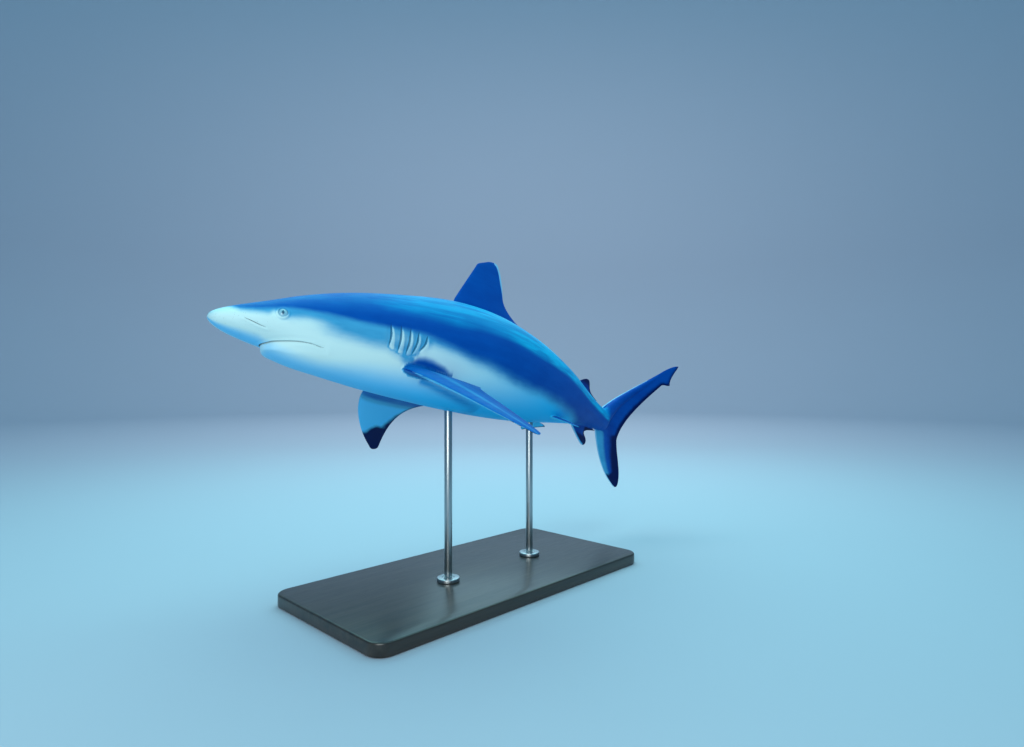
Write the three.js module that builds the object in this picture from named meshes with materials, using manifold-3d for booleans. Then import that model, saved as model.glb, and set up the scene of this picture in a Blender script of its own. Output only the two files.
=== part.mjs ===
// Grey reef shark: a life-size museum model in a climbing, banked turn, carried by two rods on a flat base.
// Millimetres, +Z up. The snout points along -X and the left flank along -Y.
// The origin is the middle of the base's underside, which is the face that the model stands on.
import * as THREE from 'three';
import { mergeVertices } from 'three/addons/utils/BufferGeometryUtils.js';
import Module from 'manifold-3d';

const wasm = await Module();
wasm.setup();
const { degToRad, lerp, mapLinear, smoothstep } = THREE.MathUtils;

// ---- Driving sizes ----
const totalLength = 1700; // along the straightened body, from just ahead of the snout to the tail tip
const cutGap = 0.3; // clearance between neighbouring pieces
const edgeThickness = 0.8; // thickness of every fin at its trailing edge
const snoutPlace = new THREE.Vector3(-590, 88, 607); // where the straightened body's front end stands
const heading = degToRad(-13.26); // turn of the head about +Z
const noseUp = degToRad(7.61); // climb of the head
const bank = degToRad(-11.02); // roll of the back away from the left flank

// Stations of the snout and of the cuts across the body, as fractions of the total length
const snoutTip = 0.0022;
const noseCap = 0.0003; // the first ring stands this far behind the snout tip
const headEnd = 0.238;
const trunkEnd = 0.59;
const stemEnd = 0.742;
const coreEnd = 0.78; // the body's outline is defined as far as this, inside the tail fin
const jawFront = 0.0585;
const jawEnd = 0.118;
const mouthWidth = 0.085; // half width of the jaw cut at its rear end, wider than the head
const mouthFloor = -0.09;

// How far the backbone turns between two stations, in degrees to the right and downwards
const bends = [
  { from: 0.18, to: 0.45, right: 18.98, down: 0 },
  { from: 0.42, to: 0.72, right: 10.99, down: 0 },
  { from: 0.68, to: 0.95, right: -44.66, down: 0 },
  { from: 0.2, to: 0.7, right: 0, down: 4.62 },
];

// Outline of the straightened body: station, then height or half width, as fractions of the total length
const backLine = [
  [snoutTip, 0], [0.0055, 0.0056], [0.025, 0.0148], [0.062, 0.0275], [0.1, 0.0414],
  [0.15, 0.0552], [0.22, 0.0677], [0.3, 0.0777], [0.38, 0.0779], [0.46, 0.0695],
  [0.56, 0.0513], [0.66, 0.0319], [0.745, 0.022], [coreEnd, 0.0192],
];
const bellyLine = [
  [snoutTip, 0], [0.0055, -0.0052], [0.025, -0.0142], [0.04, -0.0187], [0.0565, -0.0232],
  [0.061, -0.0272], [0.067, -0.0318], [0.078, -0.037], [0.1, -0.0437], [0.15, -0.0536], [0.22, -0.064],
  [0.3, -0.0708], [0.38, -0.0709], [0.46, -0.0639], [0.56, -0.0472], [0.66, -0.0301],
  [0.745, -0.0221], [coreEnd, -0.0188],
];
const halfWidth = [
  [snoutTip, 0], [0.0055, 0.0098], [0.025, 0.0268], [0.062, 0.0419], [0.1, 0.0495],
  [0.16, 0.0549], [0.25, 0.0566], [0.35, 0.0551], [0.45, 0.0473], [0.56, 0.0331],
  [0.66, 0.0193], [0.745, 0.0124], [coreEnd, 0.009],
];
const widestLevel = [
  [snoutTip, 0], [0.03, -0.0025], [0.09, 0], [0.25, 0.002], [0.4, 0.004], [0.6, 0.0015], [coreEnd, 0],
];
const mouthLine = [[jawFront, -0.0238], [0.075, -0.0231], [0.1, -0.0241], [jawEnd, -0.0278]];

// ---- Curves and frames ----
// A smooth curve through the knots. It runs in the square root of the way from the snout, which rounds it.
function along(knots, station) {
  const fromSnout = (s) => Math.sqrt(Math.max(s - snoutTip, 0));
  const q = fromSnout(station);
  const at = knots.map(([s]) => fromSnout(s));
  let i = at.findIndex((x, k) => k > 0 && q <= x) - 1;
  if (i < 0) i = at.length - 2;
  const rise = (k) => (knots[k + 1][1] - knots[k][1]) / (at[k + 1] - at[k]);
  const slope = (k) => {
    if (k === 0) return rise(0);
    if (k === at.length - 1) return rise(k - 1);
    const before = at[k] - at[k - 1];
    const after = at[k + 1] - at[k];
    return (rise(k - 1) * after + rise(k) * before) / (before + after);
  };
  const span = at[i + 1] - at[i];
  const t = (q - at[i]) / span;
  const t2 = t * t;
  const t3 = t2 * t;
  return (1 - 3 * t2 + 2 * t3) * knots[i][1] + (t - 2 * t2 + t3) * span * slope(i)
    + (3 * t2 - 2 * t3) * knots[i + 1][1] + (t3 - t2) * span * slope(i + 1);
}

// Direction of the backbone and the left and up directions that go with it
function frameAt(station) {
  let turn = 0;
  let dip = 0;
  for (const bend of bends) {
    const share = smoothstep(station, bend.from, bend.to);
    turn += degToRad(bend.right) * share;
    dip += degToRad(bend.down) * share;
  }
  const back = new THREE.Vector3(
    Math.cos(turn) * Math.cos(dip),
    Math.sin(turn) * Math.cos(dip),
    -Math.sin(dip),
  );
  const left = new THREE.Vector3(Math.sin(turn), -Math.cos(turn), 0);
  return { back, left, up: left.clone().cross(back) };
}

// The backbone as a chain of short equal steps from the snout
const spineStep = 0.0025;
const spineSteps = 440;
const spine = [new THREE.Vector3()];
for (let k = 0; k < spineSteps; k += 1) {
  const middle = frameAt((k + 0.5) * spineStep).back;
  spine.push(spine[k].clone().addScaledVector(middle, spineStep * totalLength));
}

function spineAt(station) {
  const k = Math.min(Math.max(station / spineStep, 0), spineSteps - 0.001);
  return spine[Math.floor(k)].clone().lerp(spine[Math.floor(k) + 1], k % 1);
}

// A point of the bent body. All three are fractions of the total length.
function bodyPoint(station, left, up) {
  const frame = frameAt(station);
  return spineAt(station)
    .addScaledVector(frame.left, left * totalLength)
    .addScaledVector(frame.up, up * totalLength);
}

// ---- Closed lofts ----
function signedVolume(geometry) {
  const place = geometry.attributes.position;
  const corner = [0, 1, 2].map(() => new THREE.Vector3());
  let sum = 0;
  for (let k = 0; k < geometry.index.count; k += 3) {
    corner.forEach((v, j) => v.fromBufferAttribute(place, geometry.index.getX(k + j)));
    sum += corner[0].dot(corner[1].cross(corner[2])) / 6;
  }
  return sum;
}

// Joins rings of equal point counts into one closed geometry, with a fan over each end, facing out
function loft(rings) {
  const count = rings[0].length;
  const points = rings.flat();
  const index = [];
  for (let r = 0; r + 1 < rings.length; r += 1) {
    for (let k = 0; k < count; k += 1) {
      const a = r * count + k;
      const b = r * count + (k + 1) % count;
      index.push(a, b, b + count, a, b + count, a + count);
    }
  }
  const cover = (start, flip) => {
    const middle = new THREE.Vector3();
    for (let k = 0; k < count; k += 1) middle.addScaledVector(points[start + k], 1 / count);
    points.push(middle);
    for (let k = 0; k < count; k += 1) {
      const a = start + k;
      const b = start + (k + 1) % count;
      index.push(points.length - 1, flip ? b : a, flip ? a : b);
    }
  };
  cover(0, true);
  cover((rings.length - 1) * count, false);
  const geometry = new THREE.BufferGeometry().setFromPoints(points).setIndex(index);
  if (signedVolume(geometry) < 0) geometry.setIndex([...index].reverse());
  return geometry;
}

// ---- Joins and cuts ----
function toSolid(geometry) {
  const bare = geometry.clone();
  bare.deleteAttribute('normal');
  bare.deleteAttribute('uv');
  const merged = mergeVertices(bare, 1e-4);
  const vertProperties = new Float32Array(merged.attributes.position.array);
  const triVerts = new Uint32Array(merged.index.array);
  return new wasm.Manifold(new wasm.Mesh({ numProp: 3, vertProperties, triVerts }));
}

function toGeometry(solid) {
  const { vertProperties, triVerts } = solid.getMesh();
  const geometry = new THREE.BufferGeometry();
  geometry.setAttribute('position', new THREE.BufferAttribute(vertProperties, 3));
  geometry.setIndex(new THREE.BufferAttribute(triVerts, 1));
  return geometry;
}

function cutBack(geometry, ...neighbours) {
  let solid = toSolid(geometry);
  for (const neighbour of neighbours) solid = solid.subtract(neighbour);
  return toGeometry(solid);
}

// ---- Body ----
// One cross-section: an oval a little squarer below than above, grown outwards by the given clearance
const ringPoints = 28;
const lowerSquareness = 2.2;

function bodyRing(station, grow = 0) {
  const more = grow / totalLength;
  const top = along(backLine, station) + more;
  const bottom = along(bellyLine, station) - more;
  const side = along(halfWidth, station) + more;
  const level = along(widestLevel, station);
  const ring = [];
  for (let k = 0; k < ringPoints; k += 1) {
    const angle = (2 * Math.PI * k) / ringPoints;
    const across = Math.cos(angle);
    const upward = Math.sin(angle);
    const power = upward >= 0 ? 1 : 2 / lowerSquareness;
    const height = upward >= 0 ? top - level : level - bottom;
    const left = side * Math.sign(across) * Math.abs(across) ** power;
    ring.push(bodyPoint(station, left, level + height * Math.sign(upward) * Math.abs(upward) ** power));
  }
  return ring;
}

// A closed length of the body. Its rings crowd towards the snout.
function bodyLength(from, to, count, grow = 0) {
  const rings = [];
  for (let k = 0; k <= count; k += 1) {
    const q = lerp(Math.sqrt(from - snoutTip), Math.sqrt(to - snoutTip), k / count);
    rings.push(bodyRing(snoutTip + q * q, grow));
  }
  return loft(rings);
}

const halfGap = cutGap / 2 / totalLength;
const headWhole = toSolid(bodyLength(snoutTip + noseCap, headEnd - halfGap, 20));
const trunk = bodyLength(headEnd + halfGap, trunkEnd - halfGap, 16);
const tailStem = bodyLength(trunkEnd + halfGap, stemEnd - halfGap, 7);
const bodyGrown = bodyLength(snoutTip + noseCap, coreEnd, 44, cutGap);
const bodySeat = toSolid(bodyGrown);

// The lower jaw is the part of the head below the mouth slit. The slit runs back from an arch at the chin.
function jawBlock(grow) {
  const more = grow / totalLength;
  const count = 8;
  const chinShare = 0.003; // keeps the first ring from closing to a line
  const rings = [];
  for (let k = 0; k <= count; k += 1) {
    const t = (k / count) ** 2;
    const station = lerp(jawFront - more, jawEnd + more, t);
    const side = mouthWidth * Math.sqrt(Math.max(t, chinShare)) + more;
    const roof = along(mouthLine, station) + more;
    const corners = [[-side, mouthFloor], [side, mouthFloor], [side, roof], [-side, roof]];
    rings.push(corners.map(([left, up]) => bodyPoint(station, left, up)));
  }
  return toSolid(loft(rings));
}
const lowerJaw = headWhole.intersect(jawBlock(0));

// ---- Eyes ----
// The ball is mostly sunk: only a cap of it stands in the lid opening
const eye = { station: 0.0728, out: 0.0364, up: 0.0036, radius: 14 };

function eyeBall(side, radius) {
  const centre = bodyPoint(eye.station, side * eye.out, eye.up);
  return new THREE.SphereGeometry(radius, 14, 9).translate(centre.x, centre.y, centre.z);
}

function headWithOpenings() {
  let solid = headWhole.subtract(jawBlock(cutGap));
  for (const side of [1, -1]) solid = solid.subtract(toSolid(eyeBall(side, eye.radius + cutGap)));
  return toGeometry(solid);
}

// ---- Fins ----
// A fin is lofted from chords that run from its leading edge to its trailing edge. Edges are chains of
// Bezier arcs, as [station, height] on the midline and as [back, outwards] on a paired fin.
const chordPoints = 7;
const foil = (c) => 10 * (0.2969 * Math.sqrt(c) - 0.126 * c - 0.3516 * c ** 2 + 0.2843 * c ** 3 - 0.1036 * c ** 4);

function edge(start, ...arcs) {
  const path = new THREE.CurvePath();
  let from = new THREE.Vector2(...start);
  for (const [first, second, end] of arcs) {
    const to = new THREE.Vector2(...end);
    path.add(new THREE.CubicBezierCurve(
      from,
      new THREE.Vector2(...first),
      new THREE.Vector2(...second),
      to,
    ));
    from = to;
  }
  return path;
}

function finChord(front, rear, halfThickness, place) {
  const ring = [];
  const rim = edgeThickness / 2;
  const point = (c, side) => {
    const spot = front.clone().lerp(rear, c);
    ring.push(place(spot.x, spot.y, side * (rim + (halfThickness - rim) * foil(c))));
  };
  const share = (k) => (1 - Math.cos((Math.PI * k) / chordPoints)) / 2;
  point(0, 0);
  for (let k = 1; k <= chordPoints; k += 1) point(share(k), 1);
  for (let k = chordPoints; k >= 1; k -= 1) point(share(k), -1);
  return ring;
}

// The chords reach the free rear tip after innerShare of their number, and the fin's tip after the rest.
// root and tip are thicknesses. The root chord is repeated, moved into the body by the vector buried.
function fin({ leading, inner, trailing, innerShare, chords, root, tip, buried, place }) {
  const rings = [];
  for (let k = 0; k <= chords; k += 1) {
    const t = k / chords;
    const front = leading.getPoint(t);
    const rear = t < innerShare
      ? inner.getPoint(t / innerShare)
      : trailing.getPoint((t - innerShare) / (1 - innerShare));
    const half = lerp(root, tip, t ** 0.8) / 2;
    if (k === 0) {
      const sink = new THREE.Vector2(...buried);
      rings.push(finChord(front.clone().add(sink), rear.clone().add(sink), half, place));
    }
    rings.push(finChord(front, rear, half, place));
  }
  return loft(rings);
}

const onMidline = (station, height, left) => bodyPoint(station, left / totalLength, height);

const firstDorsal = fin({
  leading: edge(
    [0.3, 0.074],
    [[0.312, 0.1], [0.33, 0.128], [0.346, 0.1515]],
    [[0.353, 0.151], [0.361, 0.156], [0.369, 0.161]],
  ),
  inner: edge([0.404, 0.07], [[0.415, 0.071], [0.435, 0.0745], [0.444, 0.0785]]),
  trailing: edge(
    [0.444, 0.0785],
    [[0.42, 0.086], [0.403, 0.098], [0.4, 0.11]],
    [[0.399, 0.12], [0.394, 0.162], [0.381, 0.1625]],
  ),
  innerShare: 0.14, chords: 14, root: 15, tip: 2, buried: [0, -0.02], place: onMidline,
});
const secondDorsal = fin({
  leading: edge([0.62, 0.036], [[0.64, 0.0465], [0.654, 0.056], [0.67, 0.0588]]),
  inner: edge([0.682, 0.026], [[0.69, 0.0268], [0.71, 0.0285], [0.722, 0.03]]),
  trailing: edge(
    [0.722, 0.03],
    [[0.7, 0.0355], [0.684, 0.042], [0.68, 0.052]],
    [[0.679, 0.056], [0.677, 0.0582], [0.6745, 0.0585]],
  ),
  innerShare: 0.2, chords: 10, root: 9, tip: 2, buried: [0, -0.012], place: onMidline,
});
const analFin = fin({
  leading: edge([0.598, -0.038], [[0.612, -0.047], [0.63, -0.06], [0.649, -0.0655]]),
  inner: edge([0.67, -0.024], [[0.682, -0.0245], [0.702, -0.027], [0.714, -0.0285]]),
  trailing: edge(
    [0.714, -0.0285],
    [[0.69, -0.034], [0.665, -0.042], [0.66, -0.058]],
    [[0.659, -0.062], [0.657, -0.0648], [0.6535, -0.0653]],
  ),
  innerShare: 0.2, chords: 10, root: 9, tip: 2, buried: [0, 0.012], place: onMidline,
});

// ---- Tail fin ----
// The upper lobe is a thin blade around the upturned end of the backbone
const forkStation = 0.802;
const upperMargin = edge(
  [stemEnd + halfGap, 0.0213],
  [[0.79, 0.052], [0.86, 0.092], [0.915, 0.1305]],
  [[0.93, 0.141], [0.943, 0.149], [0.953, 0.1515]],
);
const upperBlade = fin({
  leading: upperMargin,
  inner: edge([stemEnd + halfGap, -0.0213], [[0.76, -0.023], [0.785, -0.024], [forkStation, -0.028]]),
  trailing: edge(
    [forkStation, -0.028],
    [[0.812, 0.005], [0.89, 0.07], [0.918, 0.104]],
    [[0.924, 0.104], [0.93, 0.103], [0.937, 0.105]],
    [[0.945, 0.115], [0.953, 0.13], [0.959, 0.147]],
  ),
  innerShare: 0.22, chords: 15, root: 14, tip: 2, buried: [0, 0], place: onMidline,
});

// The muscle around the end of the backbone, an oval that narrows just under the upper margin
function tailCore() {
  const count = 9;
  const around = 16;
  const reach = 0.7; // share of the upper margin that the core follows
  const rings = [];
  for (let k = 0; k <= count; k += 1) {
    const t = k / count;
    const roof = upperMargin.getPoint(reach * t);
    const height = lerp(0.0213, 0.007, t ** 0.7);
    const width = lerp(0.0125, 0.0028, t ** 0.8);
    const ring = [];
    for (let n = 0; n < around; n += 1) {
      const angle = (2 * Math.PI * n) / around;
      ring.push(bodyPoint(roof.x, width * Math.cos(angle), roof.y - height + height * Math.sin(angle)));
    }
    rings.push(ring);
  }
  return loft(rings);
}
const upperLobe = toSolid(upperBlade).add(toSolid(tailCore()));

const lowerLobe = fin({
  leading: edge(
    [0.715, -0.02],
    [[0.726, -0.062], [0.752, -0.092], [0.787, -0.1155]],
    [[0.79, -0.1175], [0.793, -0.119], [0.796, -0.1195]],
  ),
  inner: edge([forkStation, -0.02], [[forkStation, -0.023], [forkStation, -0.026], [forkStation, -0.029]]),
  trailing: edge(
    [forkStation, -0.029],
    [[0.8, -0.05], [0.814, -0.08], [0.81, -0.104]],
    [[0.809, -0.112], [0.806, -0.118], [0.801, -0.1195]],
  ),
  innerShare: 0.1, chords: 12, root: 16, tip: 2, buried: [0, 0.012], place: onMidline,
});

// A block over the upper lobe's lower border, for the lower lobe to end against
function lobeSeat() {
  const half = 30 / totalLength;
  const roof = 40 / totalLength;
  const seatEnd = forkStation + 0.01;
  const stations = [stemEnd - 0.03, stemEnd, (stemEnd + seatEnd) / 2, seatEnd];
  return toSolid(loft(stations.map((station) => {
    const border = station < stemEnd
      ? along(bellyLine, station)
      : mapLinear(station, stemEnd, seatEnd, -0.0221, -0.0285);
    const low = border - cutGap / totalLength;
    const corners = [[-half, roof], [half, roof], [half, low], [-half, low]];
    return corners.map(([left, up]) => bodyPoint(station, left, up));
  })));
}

// ---- Paired fins ----
// They grow stiffly from their root station. X runs back along the root and Y outwards along the span.
// shear sweeps the span back, stretch lengthens it, and curl bends its tip down.
const curlSpan = 0.15;

function pairedPlace({ root, side, droop, toeDown, shear, stretch, curl }) {
  const [station, out, up] = root;
  const frame = frameAt(station);
  const origin = bodyPoint(station, side * out, up);
  const backAxis = frame.back.clone()
    .multiplyScalar(Math.cos(toeDown))
    .addScaledVector(frame.up, -Math.sin(toeDown));
  const spanAxis = frame.left.clone()
    .multiplyScalar(side * Math.cos(droop))
    .addScaledVector(frame.up, -Math.sin(droop));
  const faceAxis = backAxis.clone().cross(spanAxis).normalize().multiplyScalar(-side);
  return (x, y, z) => {
    const span = y * stretch;
    const sag = -curl * (span / curlSpan) ** 2 * curlSpan;
    return origin.clone()
      .addScaledVector(backAxis, (x + y * shear) * totalLength)
      .addScaledVector(spanAxis, span * totalLength)
      .addScaledVector(faceAxis, sag * totalLength + z);
  };
}

const pectoral = {
  leading: edge(
    [0, 0],
    [[0.003, 0.046], [0.055, 0.113], [0.105, 0.148]],
    [[0.108, 0.151], [0.11, 0.1525], [0.112, 0.153]],
  ),
  inner: edge([0.062, 0.002], [[0.075, 0.005], [0.092, 0.012], [0.097, 0.026]]),
  trailing: edge(
    [0.097, 0.026],
    [[0.0775, 0.056], [0.0993, 0.106], [0.119, 0.147]],
    [[0.1195, 0.15], [0.1185, 0.1525], [0.116, 0.1532]],
  ),
  innerShare: 0.16, chords: 15, root: 20, tip: 2, buried: [0, -0.02],
};
const pelvic = {
  leading: edge(
    [0, 0],
    [[0.011, 0.0135], [0.021, 0.027], [0.0285, 0.034]],
    [[0.031, 0.0358], [0.033, 0.0364], [0.035, 0.0362]],
  ),
  inner: edge([0.039, 0], [[0.05, 0.0015], [0.06, 0.003], [0.0645, 0.0075]]),
  trailing: edge(
    [0.0645, 0.0075],
    [[0.056, 0.0135], [0.045, 0.0225], [0.039, 0.0315]],
    [[0.0385, 0.034], [0.0375, 0.0358], [0.0365, 0.0361]],
  ),
  innerShare: 0.2, chords: 10, root: 9, tip: 2, buried: [0, -0.014],
};
const pectoralRoot = [0.212, 0.046, -0.038];
const pelvicRoot = [0.495, 0.022, -0.05];
const pairedFins = [
  {
    name: 'pectoral_fin_left', shape: pectoral, root: pectoralRoot, side: 1,
    droop: degToRad(18.7), toeDown: degToRad(4.4), shear: -0.12, stretch: 1.06, curl: 0.17,
  },
  {
    name: 'pectoral_fin_right', shape: pectoral, root: pectoralRoot, side: -1,
    droop: degToRad(8), toeDown: degToRad(8.1), shear: -0.25, stretch: 1.12, curl: 0.17,
  },
  {
    name: 'pelvic_fin_left', shape: pelvic, root: pelvicRoot, side: 1,
    droop: degToRad(24), toeDown: 0, shear: 0, stretch: 1, curl: 0,
  },
  {
    name: 'pelvic_fin_right', shape: pelvic, root: pelvicRoot, side: -1,
    droop: degToRad(12), toeDown: 0, shear: 0.15, stretch: 1, curl: 0,
  },
];

// ---- Stand ----
const base = { length: 820, width: 400, height: 28, corner: 36, bevel: 4 };
const rodRadius = 9;
const rodStations = { front: 0.3, rear: 0.47 };
const collar = { radius: 26, height: 9, bevel: 2, clearance: 0.4 };

function standBase() {
  const { length, width, height, corner, bevel } = base;
  const x = length / 2 - bevel;
  const y = width / 2 - bevel;
  const r = corner - bevel;
  const outline = new THREE.Shape();
  outline.moveTo(-x + r, -y);
  outline.lineTo(x - r, -y);
  outline.absarc(x - r, -y + r, r, -Math.PI / 2, 0);
  outline.lineTo(x, y - r);
  outline.absarc(x - r, y - r, r, 0, Math.PI / 2);
  outline.lineTo(-x + r, y);
  outline.absarc(-x + r, y - r, r, Math.PI / 2, Math.PI);
  outline.lineTo(-x, -y + r);
  outline.absarc(-x + r, -y + r, r, Math.PI, Math.PI * 1.5);
  return new THREE.ExtrudeGeometry(outline, {
    depth: height - 2 * bevel,
    bevelSize: bevel,
    bevelThickness: bevel,
    bevelSegments: 2,
    curveSegments: 5,
  }).translate(0, 0, bevel);
}

// A rod runs from the base up into the belly, where the grown body cuts it off
function standRod(foot, top, seat) {
  const length = top - base.height;
  const rod = new THREE.CylinderGeometry(rodRadius, rodRadius, length, 24).rotateX(Math.PI / 2);
  return cutBack(rod.translate(foot.x, foot.y, base.height + length / 2), seat);
}

function standCollar() {
  const { radius, height, bevel, clearance } = collar;
  const hole = rodRadius + clearance;
  const profile = [
    [hole, 0], [radius, 0], [radius, height - bevel], [radius - bevel, height], [hole, height], [hole, 0],
  ].map(([x, y]) => new THREE.Vector2(x, y));
  return new THREE.LatheGeometry(profile, 20).rotateX(Math.PI / 2);
}

// ---- Assembly ----
const colours = {
  back: 0x3f5666, flank: 0x6d8593, belly: 0xd6dde0, fins: 0x4a6171, tail: 0x2c3d4b,
  eye: 0x11161a, timber: 0x35302c, steel: 0xb4b8bb,
};

function named(name, geometry, color, roughness = 0.55, metalness = 0) {
  const mesh = new THREE.Mesh(geometry, new THREE.MeshStandardMaterial({ color, roughness, metalness }));
  mesh.name = name;
  return mesh;
}

const shark = new THREE.Group();
shark.position.copy(snoutPlace);
shark.rotation.set(bank, noseUp, heading, 'ZYX');
shark.updateMatrixWorld(true);
shark.add(
  named('head', headWithOpenings(), colours.back),
  named('lower_jaw', toGeometry(lowerJaw), colours.belly),
  named('trunk', trunk, colours.flank),
  named('tail_stem', tailStem, colours.flank),
  named('eye_left', eyeBall(1, eye.radius), colours.eye, 0.1),
  named('eye_right', eyeBall(-1, eye.radius), colours.eye, 0.1),
  named('first_dorsal_fin', cutBack(firstDorsal, bodySeat), colours.fins),
  named('second_dorsal_fin', cutBack(secondDorsal, bodySeat), colours.fins),
  named('anal_fin', cutBack(analFin, bodySeat), colours.fins),
  named('tail_fin_upper_lobe', toGeometry(upperLobe), colours.tail),
  named('tail_fin_lower_lobe', cutBack(lowerLobe, bodySeat, lobeSeat()), colours.tail),
);
for (const { name, shape, ...stance } of pairedFins) {
  const geometry = fin({ ...shape, place: pairedPlace(stance) });
  shark.add(named(name, cutBack(geometry, bodySeat), colours.fins));
}

const group = new THREE.Group();
group.add(shark, named('stand_base', standBase(), colours.timber, 0.4));
const rodSeat = toSolid(bodyGrown.clone().applyMatrix4(shark.matrixWorld));
for (const [end, station] of Object.entries(rodStations)) {
  const spot = spineAt(station).applyMatrix4(shark.matrixWorld);
  group.add(named(`stand_rod_${end}`, standRod(spot, spot.z, rodSeat), colours.steel, 0.3, 1));
  const ring = named(`stand_collar_${end}`, standCollar(), colours.steel, 0.3, 1);
  ring.position.set(spot.x, spot.y, base.height);
  group.add(ring);
}

export default group;
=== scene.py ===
import math
import bmesh
import bpy
import numpy as np
from mathutils import Euler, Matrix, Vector, kdtree


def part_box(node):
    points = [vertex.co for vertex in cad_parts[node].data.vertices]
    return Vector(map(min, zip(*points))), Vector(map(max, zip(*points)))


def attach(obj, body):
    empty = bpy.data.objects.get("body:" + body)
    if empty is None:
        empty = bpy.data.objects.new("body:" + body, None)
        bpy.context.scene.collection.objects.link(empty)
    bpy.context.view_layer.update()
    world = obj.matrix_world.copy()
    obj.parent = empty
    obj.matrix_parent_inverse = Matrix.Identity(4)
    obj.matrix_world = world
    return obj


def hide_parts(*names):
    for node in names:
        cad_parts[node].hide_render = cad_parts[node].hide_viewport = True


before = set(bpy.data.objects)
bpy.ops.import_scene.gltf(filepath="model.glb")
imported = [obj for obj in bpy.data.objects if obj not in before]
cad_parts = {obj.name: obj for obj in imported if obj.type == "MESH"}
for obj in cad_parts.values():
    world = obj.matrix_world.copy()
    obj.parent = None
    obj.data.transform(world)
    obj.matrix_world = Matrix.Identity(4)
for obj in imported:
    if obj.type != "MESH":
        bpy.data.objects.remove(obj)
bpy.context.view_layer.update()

# The pose repeats the solids: stations are shares of the length, from the snout back.
# Bends are from, to, degrees to the right, degrees down.
pose = {
    "length": 1.7, "snoutPlace": (-0.590, 0.088, 0.607), "snoutTip": 0.0022,
    "heading": -13.26, "noseUp": 7.61, "bank": -11.02,
    "bends": [(0.18, 0.45, 18.98, 0), (0.42, 0.72, 10.99, 0), (0.68, 0.95, -44.66, 0), (0.2, 0.7, 0, 4.62)],
    "step": 0.0025, "steps": 440, "rounds": 16,
}
length = pose["length"]

# The camera stands level with the flank, on the left of the head
view = {"from": (-1.04003, -1.13561, 0.50021), "along": (0.7178, 0.6963, 0.0), "lens": 22.462, "sensor": 36,
        "far": 60}
turned = Vector(view["along"]).to_track_quat("-Z", "Y").to_euler()
bpy.ops.object.camera_add(location=view["from"], rotation=turned)
camera = bpy.context.object
camera.name = "camera"
camera.data.lens = view["lens"]
camera.data.sensor_width = view["sensor"]
camera.data.clip_end = view["far"]
bpy.context.scene.camera = camera


def deselectEverything():
    if bpy.context.object and bpy.context.object.mode != "OBJECT":
        bpy.ops.object.mode_set(mode="OBJECT")
    bpy.ops.object.select_all(action="DESELECT")


def workOn(piece):
    deselectEverything()
    piece.select_set(True)
    bpy.context.view_layer.objects.active = piece


# One step of edit mode with the whole mesh selected
def editAll(piece, work):
    workOn(piece)
    bpy.ops.object.mode_set(mode="EDIT")
    bpy.ops.mesh.select_all(action="SELECT")
    work()
    bpy.ops.object.mode_set(mode="OBJECT")


# One step of edit mode with the wanted points, edges or faces selected
def editChosen(piece, kind, wanted, work):
    workOn(piece)
    bpy.ops.object.mode_set(mode="EDIT")
    bpy.ops.mesh.select_mode(type=kind)
    bpy.ops.mesh.select_all(action="DESELECT")
    mesh = bmesh.from_edit_mesh(piece.data)
    for element in {"VERT": mesh.verts, "EDGE": mesh.edges, "FACE": mesh.faces}[kind]:
        if wanted(element):
            element.select_set(True)
    if kind == "VERT":
        mesh.select_flush(True)
    bmesh.update_edit_mesh(piece.data)
    work()
    bpy.ops.mesh.select_mode(type="VERT")
    bpy.ops.object.mode_set(mode="OBJECT")


def faceOutwards(piece):
    editAll(piece, lambda: bpy.ops.mesh.normals_make_consistent(inside=False))


def readVectors(items, name):
    values = np.empty(len(items) * 3, np.float32)
    items.foreach_get(name, values)
    return values.reshape(-1, 3).astype(float)


def readNumbers(items, name):
    values = np.empty(len(items), int)
    items.foreach_get(name, values)
    return values


def pointsOf(piece):
    return readVectors(piece.data.vertices, "co")


def movePoints(piece, places):
    piece.data.vertices.foreach_set("co", np.asarray(places, np.float32).ravel())
    piece.data.update()


def storeField(piece, name, values):
    kind, part = ("FLOAT_VECTOR", "vector") if values.ndim == 2 else ("FLOAT", "value")
    field = piece.data.attributes.new(name, kind, "POINT")
    field.data.foreach_set(part, values.astype(np.float32).ravel())


def hang(piece, slot, *nodes):
    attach(piece, "root")
    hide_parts(*nodes)


def ease(x, low, high):
    t = np.clip((np.asarray(x, float) - low) / (high - low), 0, 1)
    return t * t * (3 - 2 * t)


def hill(x, width):
    return np.exp(-(np.asarray(x, float) / width) ** 2)


def mix(a, b, share):
    return a + (b - a) * share


def unit(vectors):
    return vectors / np.linalg.norm(vectors, axis=-1, keepdims=True)


def lineThrough(knots, station):
    return np.interp(station, [k[0] for k in knots], [k[1] for k in knots])


# A smooth line through knots, even in the square root of the way from the snout, which rounds the snout
def along(knots, station):
    place, value = np.array(knots, float).T
    at = np.sqrt(np.maximum(place - pose["snoutTip"], 0))
    q = np.clip(np.sqrt(np.maximum(np.asarray(station, float) - pose["snoutTip"], 0)), at[0], at[-1])
    gap = np.diff(at)
    rise = np.diff(value) / gap
    slope = (rise[:-1] * gap[1:] + rise[1:] * gap[:-1]) / (gap[:-1] + gap[1:])
    slope = np.concatenate(([rise[0]], slope, [rise[-1]]))
    i = np.clip(np.searchsorted(at, q) - 1, 0, len(gap) - 1)
    t = (q - at[i]) / gap[i]
    return ((1 - 3 * t**2 + 2 * t**3) * value[i] + (t - 2 * t**2 + t**3) * gap[i] * slope[i]
            + (3 * t**2 - 2 * t**3) * value[i + 1] + (t**3 - t**2) * gap[i] * slope[i + 1])


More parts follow.
